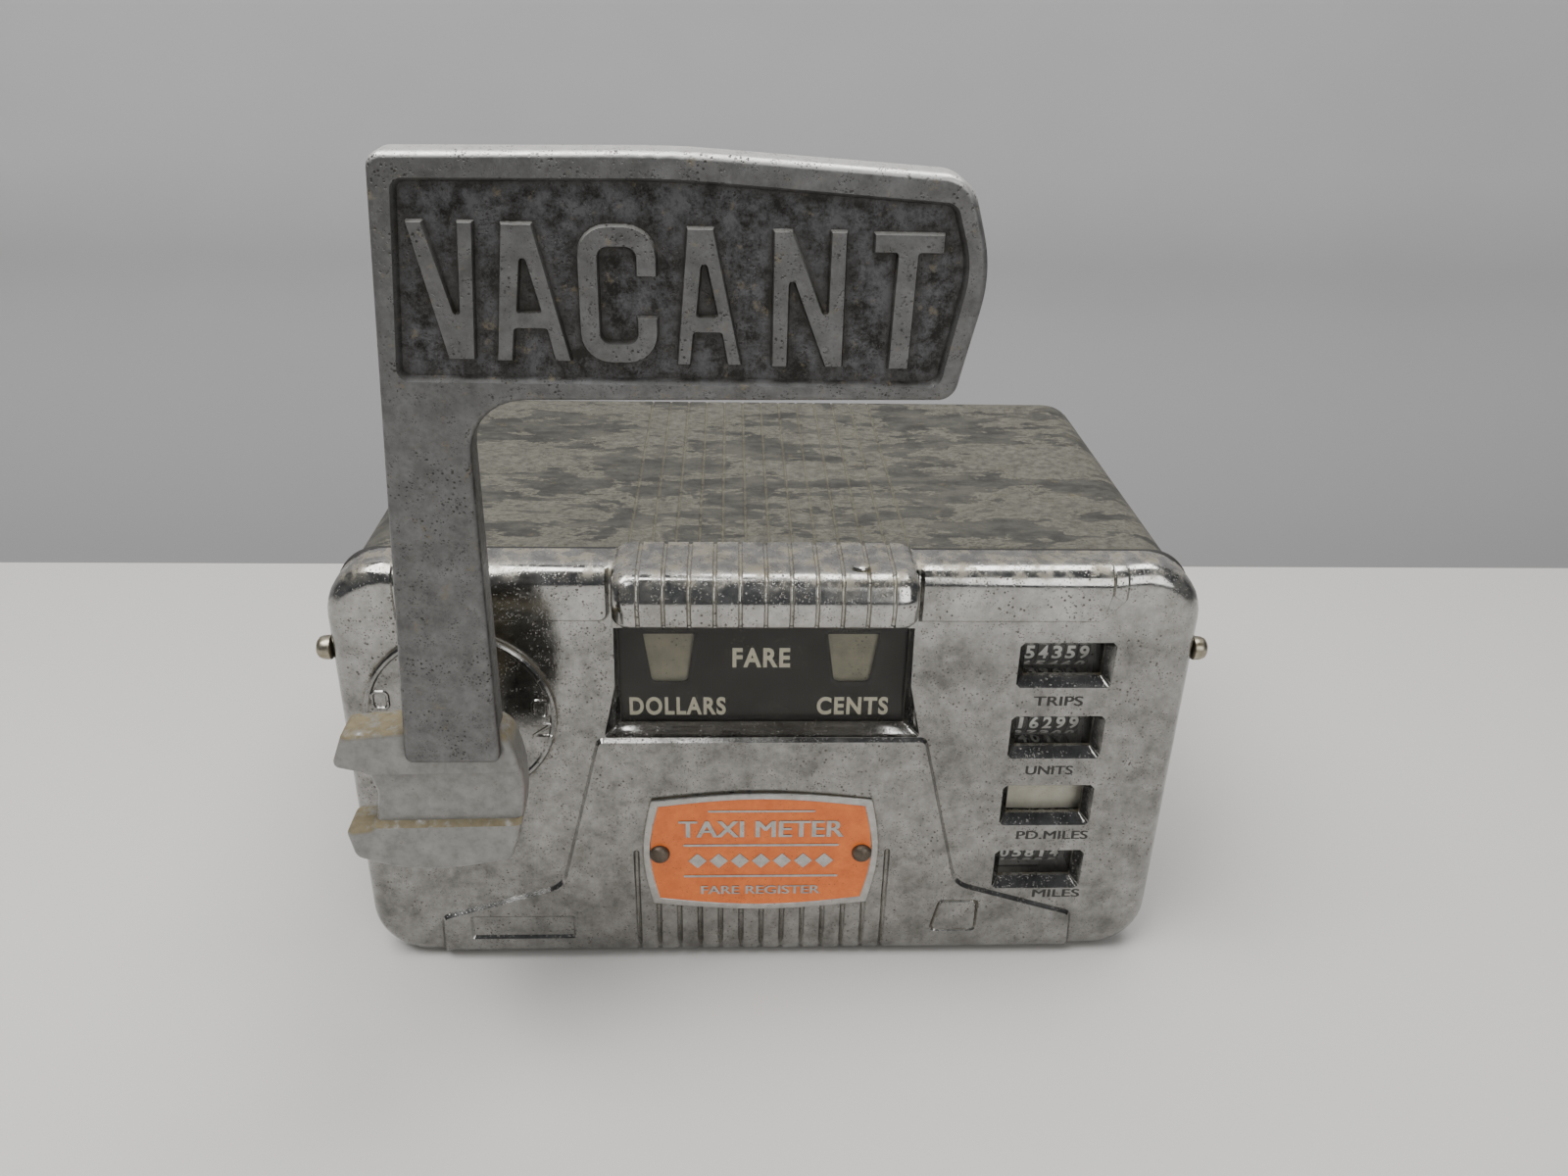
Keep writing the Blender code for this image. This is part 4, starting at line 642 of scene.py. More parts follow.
def mask_paint():
    """Flat black paint that hardly shines."""
    dark, darker, speck = (0.018, 0.016, 0.014), (0.009, 0.008, 0.007), (0.10, 0.085, 0.05)
    material = plain_paint("mask_paint", dark, darker, 0.7, speck=speck)
    material.node_tree.nodes["Principled BSDF"].inputs["Specular IOR Level"].default_value = 0.15
    return material


def clear_glass():
    """Clear glass: what is behind it shows, and it reflects at a slant; a faint dust."""
    paint = Paint("clear_glass")
    tree = paint.tree
    tree.nodes.remove(paint.shader)
    clear = tree.nodes.new("ShaderNodeBsdfTransparent")
    gloss = tree.nodes.new("ShaderNodeBsdfGlossy")
    dust = tree.nodes.new("ShaderNodeBsdfDiffuse")
    fresnel = tree.nodes.new("ShaderNodeFresnel")
    shine = tree.nodes.new("ShaderNodeMixShader")
    film = tree.nodes.new("ShaderNodeMixShader")
    clear.inputs["Color"].default_value = (0.97, 0.97, 0.96, 1)
    gloss.inputs["Roughness"].default_value = 0.04
    dust.inputs["Color"].default_value = (0.5, 0.48, 0.42, 1)
    fresnel.inputs["IOR"].default_value = 1.28
    paint.put(shine.inputs["Fac"], fresnel.outputs["Fac"])
    paint.put(shine.inputs[1], clear.outputs[0])
    paint.put(shine.inputs[2], gloss.outputs[0])
    paint.put(film.inputs["Fac"], paint.span(paint.noise(6 * MM, 6, 0.7), 0.4, 0.75, 0.0, 0.03))
    paint.put(film.inputs[1], shine.outputs[0])
    paint.put(film.inputs[2], dust.outputs[0])
    paint.put(tree.nodes["Material Output"].inputs["Surface"], film.outputs[0])
    return paint.material


def stage_cloth(name, light, dark, foot):
    """Plain cloth, painted darker where it meets the floor: a painted shade."""
    paint = Paint(name, roughness=0.9)
    paint.set(color=paint.mix(paint.height(2, 0.0, 0.17), foot, paint.mix(paint.noise(0.25, 3), dark, light)))
    paint.bump(paint.noise(0.12, 3), 4 * MM, 0.25)
    return paint.material


CHROME = chrome()
FLAG_METAL = flag_metal(ARM_LOW.y)
HUB_PAINT = hub_paint()
CASE_PAINT = case_paint()
STEEL = plain_metal("plated_steel", (0.52, 0.51, 0.49), (0.36, 0.35, 0.33), 0.35)
DARK_STEEL = plain_metal("dark_steel", (0.16, 0.13, 0.10), (0.07, 0.055, 0.04), 0.5, 0.8)
BRASS = plain_metal("aged_brass", (0.44, 0.41, 0.33), (0.24, 0.21, 0.15), 0.35)
RUBBER = plain_paint("gasket_rubber", (0.035, 0.033, 0.03), (0.015, 0.014, 0.013), 0.8)
MASK = mask_paint()
SHUTTER = plain_paint("shutter_paint", (0.30, 0.28, 0.20), (0.19, 0.175, 0.125), 0.6)
DUST = (0.09, 0.08, 0.06)
MOULDING = plain_paint("black_moulding", (0.035, 0.033, 0.031), (0.018, 0.017, 0.016), 0.4, speck=DUST)
PRINT = plain_paint("cream_print", (0.72, 0.68, 0.52), (0.55, 0.51, 0.38), 0.5, 0.5 * MM, (0.2, 0.17, 0.1))
DIGIT = plain_paint("white_digits", (0.92, 0.91, 0.88), (0.78, 0.77, 0.72), 0.5, 0.5 * MM, (0.25, 0.22, 0.16))
PAPER = plain_paint("paper_label", (0.62, 0.60, 0.52), (0.50, 0.47, 0.38), 0.8, 0.8 * MM, (0.3, 0.26, 0.18))
CHIP = (0.16, 0.07, 0.03)
ENAMEL = plain_paint("plate_enamel", (0.78, 0.19, 0.035), (0.60, 0.12, 0.02), 0.35, 0.9 * MM, CHIP)
INK = plain_paint("stamped_ink", (0.03, 0.028, 0.025), (0.015, 0.014, 0.012), 0.6, 0.4 * MM)
GLASS = clear_glass()


# ---- Front cover ----
def cover_line(inset=0.0):
    radius = max(COVER_CORNER - inset, MM)
    low, high = COVER_LOW, COVER_HIGH
    return rectangle(low.x + inset, high.x - inset, low.z + inset, high.z - inset, radius, 10)


def lower_panel():
    """The raised panel that flares from the window's ledge down past the cover's bottom edge."""
    right = mm((93.5, -8, 0), (92.5, 16, 3), (57, 27.5, 7), (51.5, 50, 30), (44.9, 77.6, 2.5))
    left = [(-x, z, radius) for x, z, radius in right]
    corners = [left[0], *right, *left[:0:-1]]
    return [p + Vector((FASCIA, 0)) for p in outline(corners)]


def brow_panels():
    """The raised panels beside the hood; they run up over the cover's top edge."""
    low = 113.5 * MM
    top = COVER_HIGH.z + 8 * MM
    left = [(-96 * MM, low, 0), (-41.2 * MM, low, 3 * MM), (-41.2 * MM, top, 0), (-96 * MM, top, 0)]
    right = [(38.6 * MM, low, 0), (87.0 * MM, low, 2.5 * MM), (93.0 * MM, 120 * MM, 2 * MM)]
    right += [(93.0 * MM, top, 0), (38.6 * MM, top, 0)]
    return [outline(left), outline(right)]


def foot_marks():
    """The sunk mark at the panel's lower left and the tab at its lower right."""
    sunk = outline(mm((-85.5, 8, 1), (-55, 8, 1), (-55, 16.5, 1), (-85.5, 16.5, 1)))
    tab = outline(mm((48.5, 9.5, 2), (63, 9.5, 2), (63, 21.5, 2), (51, 21.5, 2)))
    return sunk, tab


def sill_line(share):
    """Between the window's opening (0) and the lip of its sill and jambs (1)."""
    corners = []
    half = WINDOW_HALF
    spots = (
        (-half, WINDOW_LOW, -SILL_HALF, SILL_LOW, 1.5),
        (half, WINDOW_LOW, SILL_HALF, SILL_LOW, 1.5),
        (half, WINDOW_LOW + 14 * MM, half + 0.9 * MM, WINDOW_LOW + 14 * MM, 6),
        (half, WINDOW_HIGH, half + 0.6 * MM, WINDOW_HIGH + 0.6 * MM, 0.5),
        (-half, WINDOW_HIGH, -half - 0.6 * MM, WINDOW_HIGH + 0.6 * MM, 0.5),
        (-half, WINDOW_LOW + 14 * MM, -half - 0.9 * MM, WINDOW_LOW + 14 * MM, 6),
    )
    for x1, z1, x2, z2, radius in spots:
        x, z = FASCIA + x1 + (x2 - x1) * share, z1 + (z2 - z1) * share
        corners.append((x, z, max(radius * share, 0.2) * MM))
    if share == 0:
        corners = [corners[0], corners[1], corners[3], corners[4]]
    return outline(corners, 5)


def counter_line(z, share):
    """A counter's opening (0), widening to the cover's face (1)."""
    half_x = COUNTER_HALF[0] + COUNTER_BEVEL * share
    half_z = COUNTER_HALF[1] + COUNTER_BEVEL * share
    radius = (0.5 + share) * 0.8 * MM
    return rectangle(COUNTER_X - half_x, COUNTER_X + half_x, z - half_z, z + half_z, radius, 4)


def groove_places():
    return [FASCIA + 0.4 * MM + (i - GROOVES // 2) * GROOVE_PITCH for i in range(GROOVES)]


def ring_share(points, outer, inner):
    """0 on the outer of two nested lines and beyond it, 1 on the inner."""
    share = np.zeros(len(points))
    near = depth_in(points, outer) > -1e-7
    away = np.abs(distance(points[near], outer))
    share[near] = away / np.maximum(away + distance(points[near], inner), 1e-9)
    return share


def front_cover():
    panel = lower_panel()
    brows = brow_panels()
    sunk, tab = foot_marks()
    opening, lip = sill_line(0), sill_line(1)
    windows = [(counter_line(z, 0), counter_line(z, 1)) for z in COUNTER_Z]
    grooves = [((x, GROOVE_TOP), (x, -10 * MM)) for x in groove_places()]
    seam = mm((88.8, 121.5), (88.8, 132))

    def front(points):
        y = FACE + round_edge(depth_in(points, cover_line()), COVER_EDGE)
        raised = rise(depth_in(points, panel), BEVEL)
        for brow in brows:
            raised = np.maximum(raised, rise(depth_in(points, brow), BEVEL))
        y = y - (RELIEF - 0.05 * MM) * raised
        y = y + 0.7 * MM * rise(depth_in(points, sunk), 0.9 * MM)
        y = y + 0.5 * MM * rise(0.5 * MM - np.abs(depth_in(points, tab) - 0.5 * MM), 0.5 * MM)
        for groove in grooves:
            away = distance(points, groove, closed=False)
            y = y + GROOVE_DEPTH * rise(GROOVE_HALF - away, GROOVE_HALF) ** 0.8
        y = y + 0.5 * MM * rise(0.45 * MM - distance(points, seam, closed=False), 0.45 * MM)
        share = ring_share(points, lip, opening)
        y = y + (OPENING_Y - y) * np.where(share > 0, share**0.85, 0)
        for inner, outer in windows:
            share = ring_share(points, outer, inner)
            y = np.where(share > 0, y + (FACE + 3 * MM - y) * share, y)
        return y

    loops = round_loops(cover_line, COVER_EDGE, 9)
    loops += [panel, offset(panel, BEVEL), tab, offset(tab, 0.5 * MM), offset(tab, MM)]
    loops += [sunk, offset(sunk, 0.9 * MM)]
    for brow in brows:
        loops += [brow, offset(brow, BEVEL)]
    loops += [lip, sill_line(0.35), sill_line(0.7)]
    loops += [outer for _, outer in windows]
    for (x, top), (_, low) in grooves:
        for half in (GROOVE_HALF, GROOVE_HALF * 0.5):
            loops.append(rectangle(x - half, x + half, low, top + half, half * 0.98, 4))
    lines = [[Vector(p) for p in groove] for groove in grooves]
    lines += [[Vector((x, p[1])) for p in seam] for x in (88.35 * MM, 88.8 * MM, 89.25 * MM)]
    holes = [opening, *[inner for inner, _ in windows], circle(8.6 * MM, 48, (SHAFT.x, SHAFT.z))]
    edge = OPENING_Y + 0.1 * MM
    shape = relief(cover_line(), front, COVER_BACK, holes, loops, lines, hole_back=edge, cap=False)
    piece("cover_casting", shape, CHROME, "casework", ["front_cover"], sharp=32, tidy=False)


def counter_labels():
    """Stamped names under the counters, in generic letters."""
    spots = (
        ("TRIPS", 71.8, 85.1, 87.7, 90.7),
        ("UNITS", 72.1, 85.2, 65.1, 68.0),
        ("PD.MILES", 71.9, 92.4, 42.6, 45.5),
        ("MILES", 78.9, 92.7, 21.3, 24.1),
    )
    shapes = []
    for text, left, right, low, high in spots:
        shape = struck(glyphs(text, (right - left) * MM, (high - low) * MM, 0.06 * MM), 0.12 * MM)
        place = placed((left + right) / 2 * MM, FACE - 0.01 * MM, (low + high) / 2 * MM, AXIS_Y)
        shapes.append(shifted(shape, place))
    piece("counter_lettering", joined(*shapes), INK, "casework")


# ---- Lamp hood ----
def hood_profile():
    """The hood's side view, as (y, z): flat underneath, bulging forward, reaching back over the cover."""
    front = HOOD_LOW.y
    seat = FACE - RELIEF - HAIR
    top = COVER_HIGH.z + HAIR
    corners = [
        (HOOD_HIGH.y, HOOD_HIGH.z, 0),
        (front + 3 * MM, HOOD_HIGH.z, 6 * MM),
        (front, (HOOD_HIGH.z + HOOD_LOW.z) / 2, 6 * MM),
        (front + 2 * MM, HOOD_LOW.z, 2.6 * MM),
        (seat, HOOD_LOW.z, 0),
        (seat, top, 0),
        (HOOD_HIGH.y, top, 0),
    ]
    return outline(corners, 8)


def hood_stations():
    """(x, how far the skin is sunk) along the hood, which has round ends and a grooved front."""
    pitch, half, depth, end = 6.4 * MM, 0.6 * MM, 0.6 * MM, 5 * MM
    centre = (HOOD_LOW.x + HOOD_HIGH.x) / 2
    turns = [math.pi / 2 * step / 6 for step in range(7)]
    stations = [(HOOD_LOW.x + end * (1 - math.cos(t)), 0.7 * end * (1 - math.sin(t))) for t in turns]
    for groove in range(HOOD_GROOVES):
        x = centre + (groove - HOOD_GROOVES // 2) * pitch
        for place, sink in ((-1, 0), (-0.6, 0.75), (-0.25, 1), (0.25, 1), (0.6, 0.75), (1, 0)):
            stations.append((x + place * half, sink * depth))
    stations += [(HOOD_HIGH.x - end * (1 - math.sin(t)), 0.7 * end * (1 - math.cos(t))) for t in turns]
    return stations


def lamp_hood():
    profile = hood_profile()
    normals = []
    for index, here in enumerate(profile):
        before = (here - profile[index - 1]).normalized()
        after = (profile[(index + 1) % len(profile)] - here).normalized()
        along = (before + after).normalized()
        normals.append(Vector((along.y, -along.x)))
    skin = [max(n.y, -n.x) > 0.2 for n in normals]
    rings = []
    for x, inset in hood_stations():
        ring = []
        for here, normal, shown in zip(profile, normals, skin):
            spot = here - normal * inset * shown
            ring.append((x, spot.x, max(spot.y, HOOD_LOW.z)))
        rings.append(ring)
    piece("ribbed_hood", loft(rings), CHROME, "casework", ["lamp_hood"], sharp=40)


def hood_pin():
    low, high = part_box("hood_pin")
    x, y = (low.x + high.x) / 2, (low.y + high.y) / 2
    profile = mm((0, -2), (1.2, -2), (1.9, 0), (2.15, 0.25), (1.95, 0.7), (1.2, 1.05), (0.5, 1.15), (0, 1.15))
    shape = turned(profile, 32)
    place = placed(x, y, HOOD_HIGH.z, Matrix.Diagonal((1.08, 0.92, 1, 1)))
    piece("hood_rivet", shifted(shape, place), CHROME, "casework", ["hood_pin"])


# ---- Fare window ----
def aperture(centre):
    low, high = 4.8 * MM, 6.9 * MM
    top = DRUM_Z + 7.5 * MM
    foot = DRUM_Z - 7.5 * MM
    corners = [(centre - low, foot, 1.6 * MM), (centre + low, foot, 1.6 * MM)]
    corners += [(centre + high, top, 0.4 * MM), (centre - high, top, 0.4 * MM)]
    return outline(corners)


def dial_mask():
    outer = rectangle(MASK_LOW.x, MASK_HIGH.x, MASK_LOW.z, MASK_HIGH.z, 0.5 * MM, 3)
    slots = [aperture(DOLLARS_X), aperture(CENTS_X)]

    def front(points):
        y = np.full(len(points), MASK_LOW.y)
        for slot in slots:
            y = y + 0.5 * MM * rise(1.1 * MM - distance(points, slot), 1.1 * MM)
        return y

    loops = [offset(slot, -0.55 * MM) for slot in slots] + [offset(slot, -1.1 * MM) for slot in slots]
    shape = relief(outer, front, MASK_HIGH.y, slots, loops)
    piece("fare_mask", shape, MASK, "casework", ["dial_mask"], tidy=False)


def mask_words():
    words = (
        ("FARE", -9.6, 5.9, 96.0, 102.0),
        ("DOLLARS", -37.6, -11.4, 80.9, 86.6),
        ("CENTS", 13.6, 33.2, 80.9, 86.6),
    )
    shapes = []
    for text, left, right, low, high in words:
        shape = glyphs(text, (right - left) * MM, (high - low) * MM, 0.1 * MM, 0.032, spacing=1.16)
        place = placed((left + right) / 2 * MM, MASK_LOW.y - 0.02 * MM, (low + high) / 2 * MM, AXIS_Y)
        shapes.append(shifted(shape, place))
    piece("mask_lettering", joined(*shapes), PRINT, "casework")


# ---- Numbered wheels and drums ----
def digit_rings(radius, width, height, weight):
    """Ten digits round a drum. The figure one is narrow, and the nine is a six turned over."""
    shapes = []
    for digit in range(10):
        wide = width * (0.42 if digit == 1 else 1)
        shape = glyphs("6" if digit == 9 else str(digit), wide, height, 0.08 * MM, weight, 7)
        if digit == 9:
            shape = shifted(shape, Matrix.Rotation(math.pi, 4, "Z"))
        shapes.append(wrapped(shape, radius, -math.radians(36 * digit)))
    return joined(*shapes)


def wheel_body(radius, half, bore, steps):
    """A moulded wheel: chamfered rims, a sunk web and a hub round its bore."""
    rim = radius - 1.3 * MM
    web = min(half * 0.45, 0.9 * MM)
    hub, chamfer = bore + 1.2 * MM, 0.2 * MM
    side = [(hub, half), (hub, half - web), (rim, half - web), (rim, half), (radius - chamfer, half)]
    side += [(radius, half - chamfer)]
    profile = [(bore, -half), *[(r, -along) for r, along in side], *side[::-1], (bore, half)]
    rings = []
    for r, along in profile + profile[:1]:
        rings.append([(along, r * math.cos(t), r * math.sin(t)) for t in around(steps)])
    return loft(rings, caps=False)


def numbered_mesh(name, body, digits):
    vertices, faces = joined(body, digits)
    mesh = bpy.data.meshes.new(name)
    mesh.from_pydata(vertices, [], faces)
    bm = bmesh.new()
    bm.from_mesh(mesh)
    bmesh.ops.remove_doubles(bm, verts=bm.verts, dist=1e-8)
    bmesh.ops.recalc_face_normals(bm, faces=bm.faces)
    bm.to_mesh(mesh)
    bm.free()
    mesh.materials.append(MOULDING)
    mesh.materials.append(DIGIT)
    for polygon in mesh.polygons:
        polygon.material_index = int(polygon.index >= len(body[1]))
    mesh.shade_smooth()
    mesh.set_sharp_from_angle(angle=math.radians(30))
    return mesh


def numbered(name, mesh, node, body, shown):
    """A wheel turned until a digit faces the front. shown may lie between two digits."""
    obj = bpy.data.objects.new(name, mesh)
    spot = middle(node)
    obj.matrix_world = placed(spot.x, spot.y, spot.z, Matrix.Rotation(-math.radians(36 * shown), 4, "X"))
    bpy.context.scene.collection.objects.link(obj)
    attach(obj, body)
    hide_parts(node)


def counter_wheels():
    low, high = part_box("trips_wheel_1")
    radius, half = (high.z - low.z) / 2 - 0.05 * MM, (high.x - low.x) / 2
    body = wheel_body(radius, half, 1.4 * MM, 72)
    mesh = numbered_mesh("counter_wheel", body, digit_rings(radius, 2.6 * MM, 4.7 * MM, 0.03))
    for name in COUNTERS:
        for place in range(5):
            node = "%s_wheel_%d" % (name, place + 1)
            shown = int(READINGS[name][4 - place])
            body_name = "%s_%d" % (name, place + 1)
            numbered(node + "_digits", mesh, node, body_name, shown - READ_LOW)


def fare_drums():
    for node, body, width, height in (
        ("dollars_drum", "dollars", 6.4, 10.5),
        ("cents_tens_drum", "cents_tens", 4.6, 9.5),
        ("cents_units_drum", "cents_units", 4.6, 9.5),
    ):
        low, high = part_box(node)
        radius, half = (high.z - low.z) / 2 - 0.1 * MM, (high.x - low.x) / 2
        digits = digit_rings(radius, width * MM, height * MM, 0.015)
        mesh = numbered_mesh(node, wheel_body(radius, half, 2.9 * MM, 120), digits)
        numbered(node + "_digits", mesh, node, body, 0)


def paper_label():
    """The blank paper strip behind the third counter's glass."""
    z = COUNTER_Z[2]
    y = GLASS_HIGH.y + 0.6 * MM
    outer = rectangle(COUNTER_X - 12.2 * MM, COUNTER_X + 12.2 * MM, z - 6 * MM, z + 6 * MM, 0.6 * MM, 3)

    def front(points):
        return y + 0.35 * MM * np.sin((points[:, 0] - COUNTER_X) / (6 * MM)) ** 2

    lines = []
    for step in range(-5, 6):
        x = COUNTER_X + step * 2 * MM
        lines.append([Vector((x, z - 7 * MM)), Vector((x, z + 7 * MM))])
    shape = relief(outer, front, lambda p: front(p) + 0.15 * MM, lines=lines)
    piece("blank_label", shape, PAPER, "casework", tidy=False)


# ---- Name plate and position disc ----
def bowed(half_x, half_z, bow, middle_x, middle_z, steps=10):
    corners = [Vector((half_x * u, half_z * v)) for u, v in ((-1, -1), (1, -1), (1, 1), (-1, 1))]
    outwards = [Vector(side) for side in ((0, -1), (1, 0), (0, 1), (-1, 0))]
    line = []
    for index, out in enumerate(outwards):
        end = corners[(index + 1) % 4]
        for step in range(steps):
            share = step / steps
            line.append(corners[index].lerp(end, share) + out * bow * math.sin(math.pi * share))
    return [p + Vector((middle_x, middle_z)) for p in line]


def plate_line(inset):
    bow = 2.5 * MM
    half_x = (PLATE_HIGH.x - PLATE_LOW.x) / 2 - bow - inset
    half_z = (PLATE_HIGH.z - PLATE_LOW.z) / 2 - bow - inset
    return bowed(half_x, half_z, bow, (PLATE_LOW.x + PLATE_HIGH.x) / 2, (PLATE_LOW.z + PLATE_HIGH.z) / 2)


def name_plate():
    """A pressed plate: silver border and bars standing off an enamelled field."""
    x, z = (PLATE_LOW.x + PLATE_HIGH.x) / 2, (PLATE_LOW.z + PLATE_HIGH.z) / 2
    base = PLATE_LOW.y + 0.35 * MM
    border = plate_line(1.9 * MM)
    bolt_holes = [circle(1.8 * MM, 24, (middle(n).x, z)) for n in ("plate_rivet_left", "plate_rivet_right")]

    def front(points):
        y = np.full(len(points), base)
        y = y - 0.2 * MM * rise(-depth_in(points, border), 0.2 * MM)
        return y + 0.25 * MM * (1 - rise(depth_in(points, plate_line(0)), 0.4 * MM))

    loops = [border, plate_line(1.7 * MM), plate_line(0.4 * MM)]
    shape = relief(plate_line(0), front, PLATE_HIGH.y, bolt_holes, loops)
    plate = piece("plate_sheet", shape, ENAMEL, "casework", ["name_plate"], tidy=False)
    plate.data.materials.append(STEEL)
    for polygon in plate.data.polygons:
        spot = np.array([[polygon.center.x, polygon.center.z]])
        polygon.material_index = int(depth_in(spot, border)[0] < 0 or polygon.normal.y > -0.3)
    bars = []
    for text, width, height, up in (("TAXI METER", 46, 5.6, 8.5), ("FARE REGISTER", 34, 3.0, -13.2)):
        shape = struck(glyphs(text, width * MM, height * MM, 0.3 * MM), height * 0.04 * MM)
        bars.append(shifted(shape, placed(x, base - 0.05 * MM, z + up * MM, AXIS_Y)))
    lines = []
    for up, width, height in ((2.8, 44, 0.7), (-8.2, 44, 0.7), (14.6, 30, 0.6)):
        left, right = x - width / 2 * MM, x + width / 2 * MM
        low, high = z + (up - height / 2) * MM, z + (up + height / 2) * MM
        lines.append(rectangle(left, right, low, high, 0.3 * MM, 4))
    side = 2.6 * MM
    for step in range(-3, 4):
        u, v = x + step * 6 * MM, z - 2.7 * MM
        lines.append([Vector(p) for p in ((u, v - side), (u + side, v), (u, v + side), (u - side, v))])
    for line in lines:
        bars.append(relief(line, level(base - 0.18 * MM), base + 0.1 * MM))
    piece("plate_ornament", joined(*bars), STEEL, "casework")


def dome(radius, height, lip, steps=7):
    """A round-headed profile of (radius, z)."""
    profile = [(0, -0.3 * MM), (radius, -0.3 * MM), (radius, lip)]
    for step in range(1, steps):
        turn = math.pi / 2 * step / steps
        profile.append((radius * math.cos(turn), lip + (height - lip) * math.sin(turn)))
    return profile + [(0, height)]


def plate_rivets():
    for node in ("plate_rivet_left", "plate_rivet_right"):
        low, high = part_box(node)
        shape = turned(dome((high.z - low.z) / 2, PLATE_LOW.y - low.y, 0.15 * MM), 40)
        place = placed((low.x + high.x) / 2, PLATE_LOW.y, (low.z + high.z) / 2, AXIS_Y)
        piece(node + "_head", shifted(shape, place), DARK_STEEL, "casework", [node])


def position_disc():
    radius = (DISC_HIGH.z - DISC_LOW.z) / 2
    low = DISC_HIGH.y - 1.0 * MM
    centre = Vector((SHAFT.x, SHAFT.z))
    letter_o = rectangle(-2.6 * MM, 2.6 * MM, -3.1 * MM, 3.1 * MM, 1.8 * MM)
    half_n = [Vector(p) for p in mm((-2.4, -2.8), (-1.3, -2.8), (-1.3, 1.0), (1.2, -2.8), (2.4, -2.8))]
    letter_n = half_n + [-p for p in half_n]
    marks = [[centre + Vector((-20.4 * MM, 5.4 * MM)) + p for p in letter_o]]
    marks += [[centre + Vector((21.3 * MM, 2.6 * MM)) + p for p in letter_o]]
    marks += [[centre + Vector((21.4 * MM, -4.0 * MM)) + Vector((p.y, -p.x)) for p in letter_n]]

    def front(points):
        out = radius - np.hypot(points[:, 0] - centre.x, points[:, 1] - centre.y)
        y = low - 0.5 * MM * rise(1.7 * MM - out, 0.5 * MM) + 0.45 * MM * rise(0.5 * MM - out, 0.5 * MM)
        for mark in marks:
            y = y - 0.35 * MM * rise(0.55 * MM - np.abs(depth_in(points, mark) - 0.6 * MM), 0.3 * MM)
        return y

    loops = [circle(radius - inset * MM, 96, centre) for inset in (0.5, 1.2, 1.7)]
    for mark in marks:
        loops += [mark] + [offset(mark, depth * MM) for depth in (0.05, 0.35, 0.85, 1.15)]
    shape = relief(circle(radius, 96, centre), front, DISC_HIGH.y, [circle(8.3 * MM, 48, centre)], loops)
    piece("lettered_disc", shape, CHROME, "casework", ["position_disc"], tidy=False)


# ---- Case, gasket, screws and socket ----
def case_section(inset):
    """The case's outline in x and z, with its grooved top."""
    half, low, high = (CASE_HIGH.x - CASE_LOW.x) / 2 - inset, CASE_LOW.z + inset, CASE_HIGH.z - inset
    radius = max(CASE_CORNER - inset, MM)
    x, top, foot = half - radius, high - radius, low + radius

    def corner(centre_x, centre_z, start):
        turns = [math.radians(start - 9 * step) for step in range(11)]
        return [(centre_x + radius * math.cos(t), centre_z + radius * math.sin(t)) for t in turns]

    grooves = []
    for groove in range(GROOVES):
        groove_x = (groove - GROOVES // 2) * CASE_GROOVE_PITCH
        for place, sink in ((-1, 0), (-0.5, 0.7), (0, 1), (0.5, 0.7), (1, 0)):
            grooves.append((groove_x + place * 0.5 * MM, high - sink * 0.4 * MM))
    line = corner(-x, top, 180) + grooves + corner(x, top, 90)
    return line + corner(x, foot, 0) + corner(-x, foot, -90)


def case_shell():
    """A hollow case, open at the front, with a rounded back."""
    edge = 6 * MM
    inner = case_section(CASE_WALL)
    rings = [(inner, CASE_HIGH.y - CASE_WALL), (inner, CASE_LOW.y + 0.2 * MM)]
    rings += [(case_section(0.4 * MM), CASE_LOW.y), (case_section(0), CASE_LOW.y + 0.4 * MM)]
    rings += [(case_section(0), CASE_LOW.y + 30 * MM * step) for step in (1, 2, 3)]
    for step in range(9):
        turn = math.pi / 2 * step / 8
        rings.append((case_section(edge * (1 - math.cos(turn))), CASE_HIGH.y - edge + edge * math.sin(turn)))
    shape = loft([[(x, y, z) for x, z in line] for line, y in rings])
    piece("painted_case", shape, CASE_PAINT, "casework", ["case_shell"], sharp=40)


def gasket():
    low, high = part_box("cover_gasket")

    def line(inset):
        return rectangle(low.x + inset, high.x - inset, low.z + inset, high.z - inset, 12 * MM - inset, 10)

    inner, chamfer, lip = 6.5 * MM, 0.5 * MM, 0.6 * MM
    rings = [(inner, low.y), (chamfer, low.y), (0, low.y + lip)]
    rings += [(0, high.y - lip), (chamfer, high.y), (inner, high.y)]
    loops = [[(p.x, y, p.y) for p in line(inset)] for inset, y in rings]
    shape = loft(loops + loops[:1], caps=False)
    piece("rubber_gasket", shape, RUBBER, "casework", ["cover_gasket"])


def drilled_head(radius, length, hole):
    """A round head with a hole drilled in its end."""
    profile = [(0, -0.4), (0.55, -0.4), (0.8, 0.0), (0.97, 0.12)]
    profile += [(1, 0.3), (0.96, 0.62), (0.85, 0.84), (0.62, 0.97)]
    profile = [(radius * r, length * z if z > 0 else z * MM) for r, z in profile]
    return profile + [(hole * 1.25, length), (hole, length * 0.94), (hole, length * 0.45), (0, length * 0.4)]


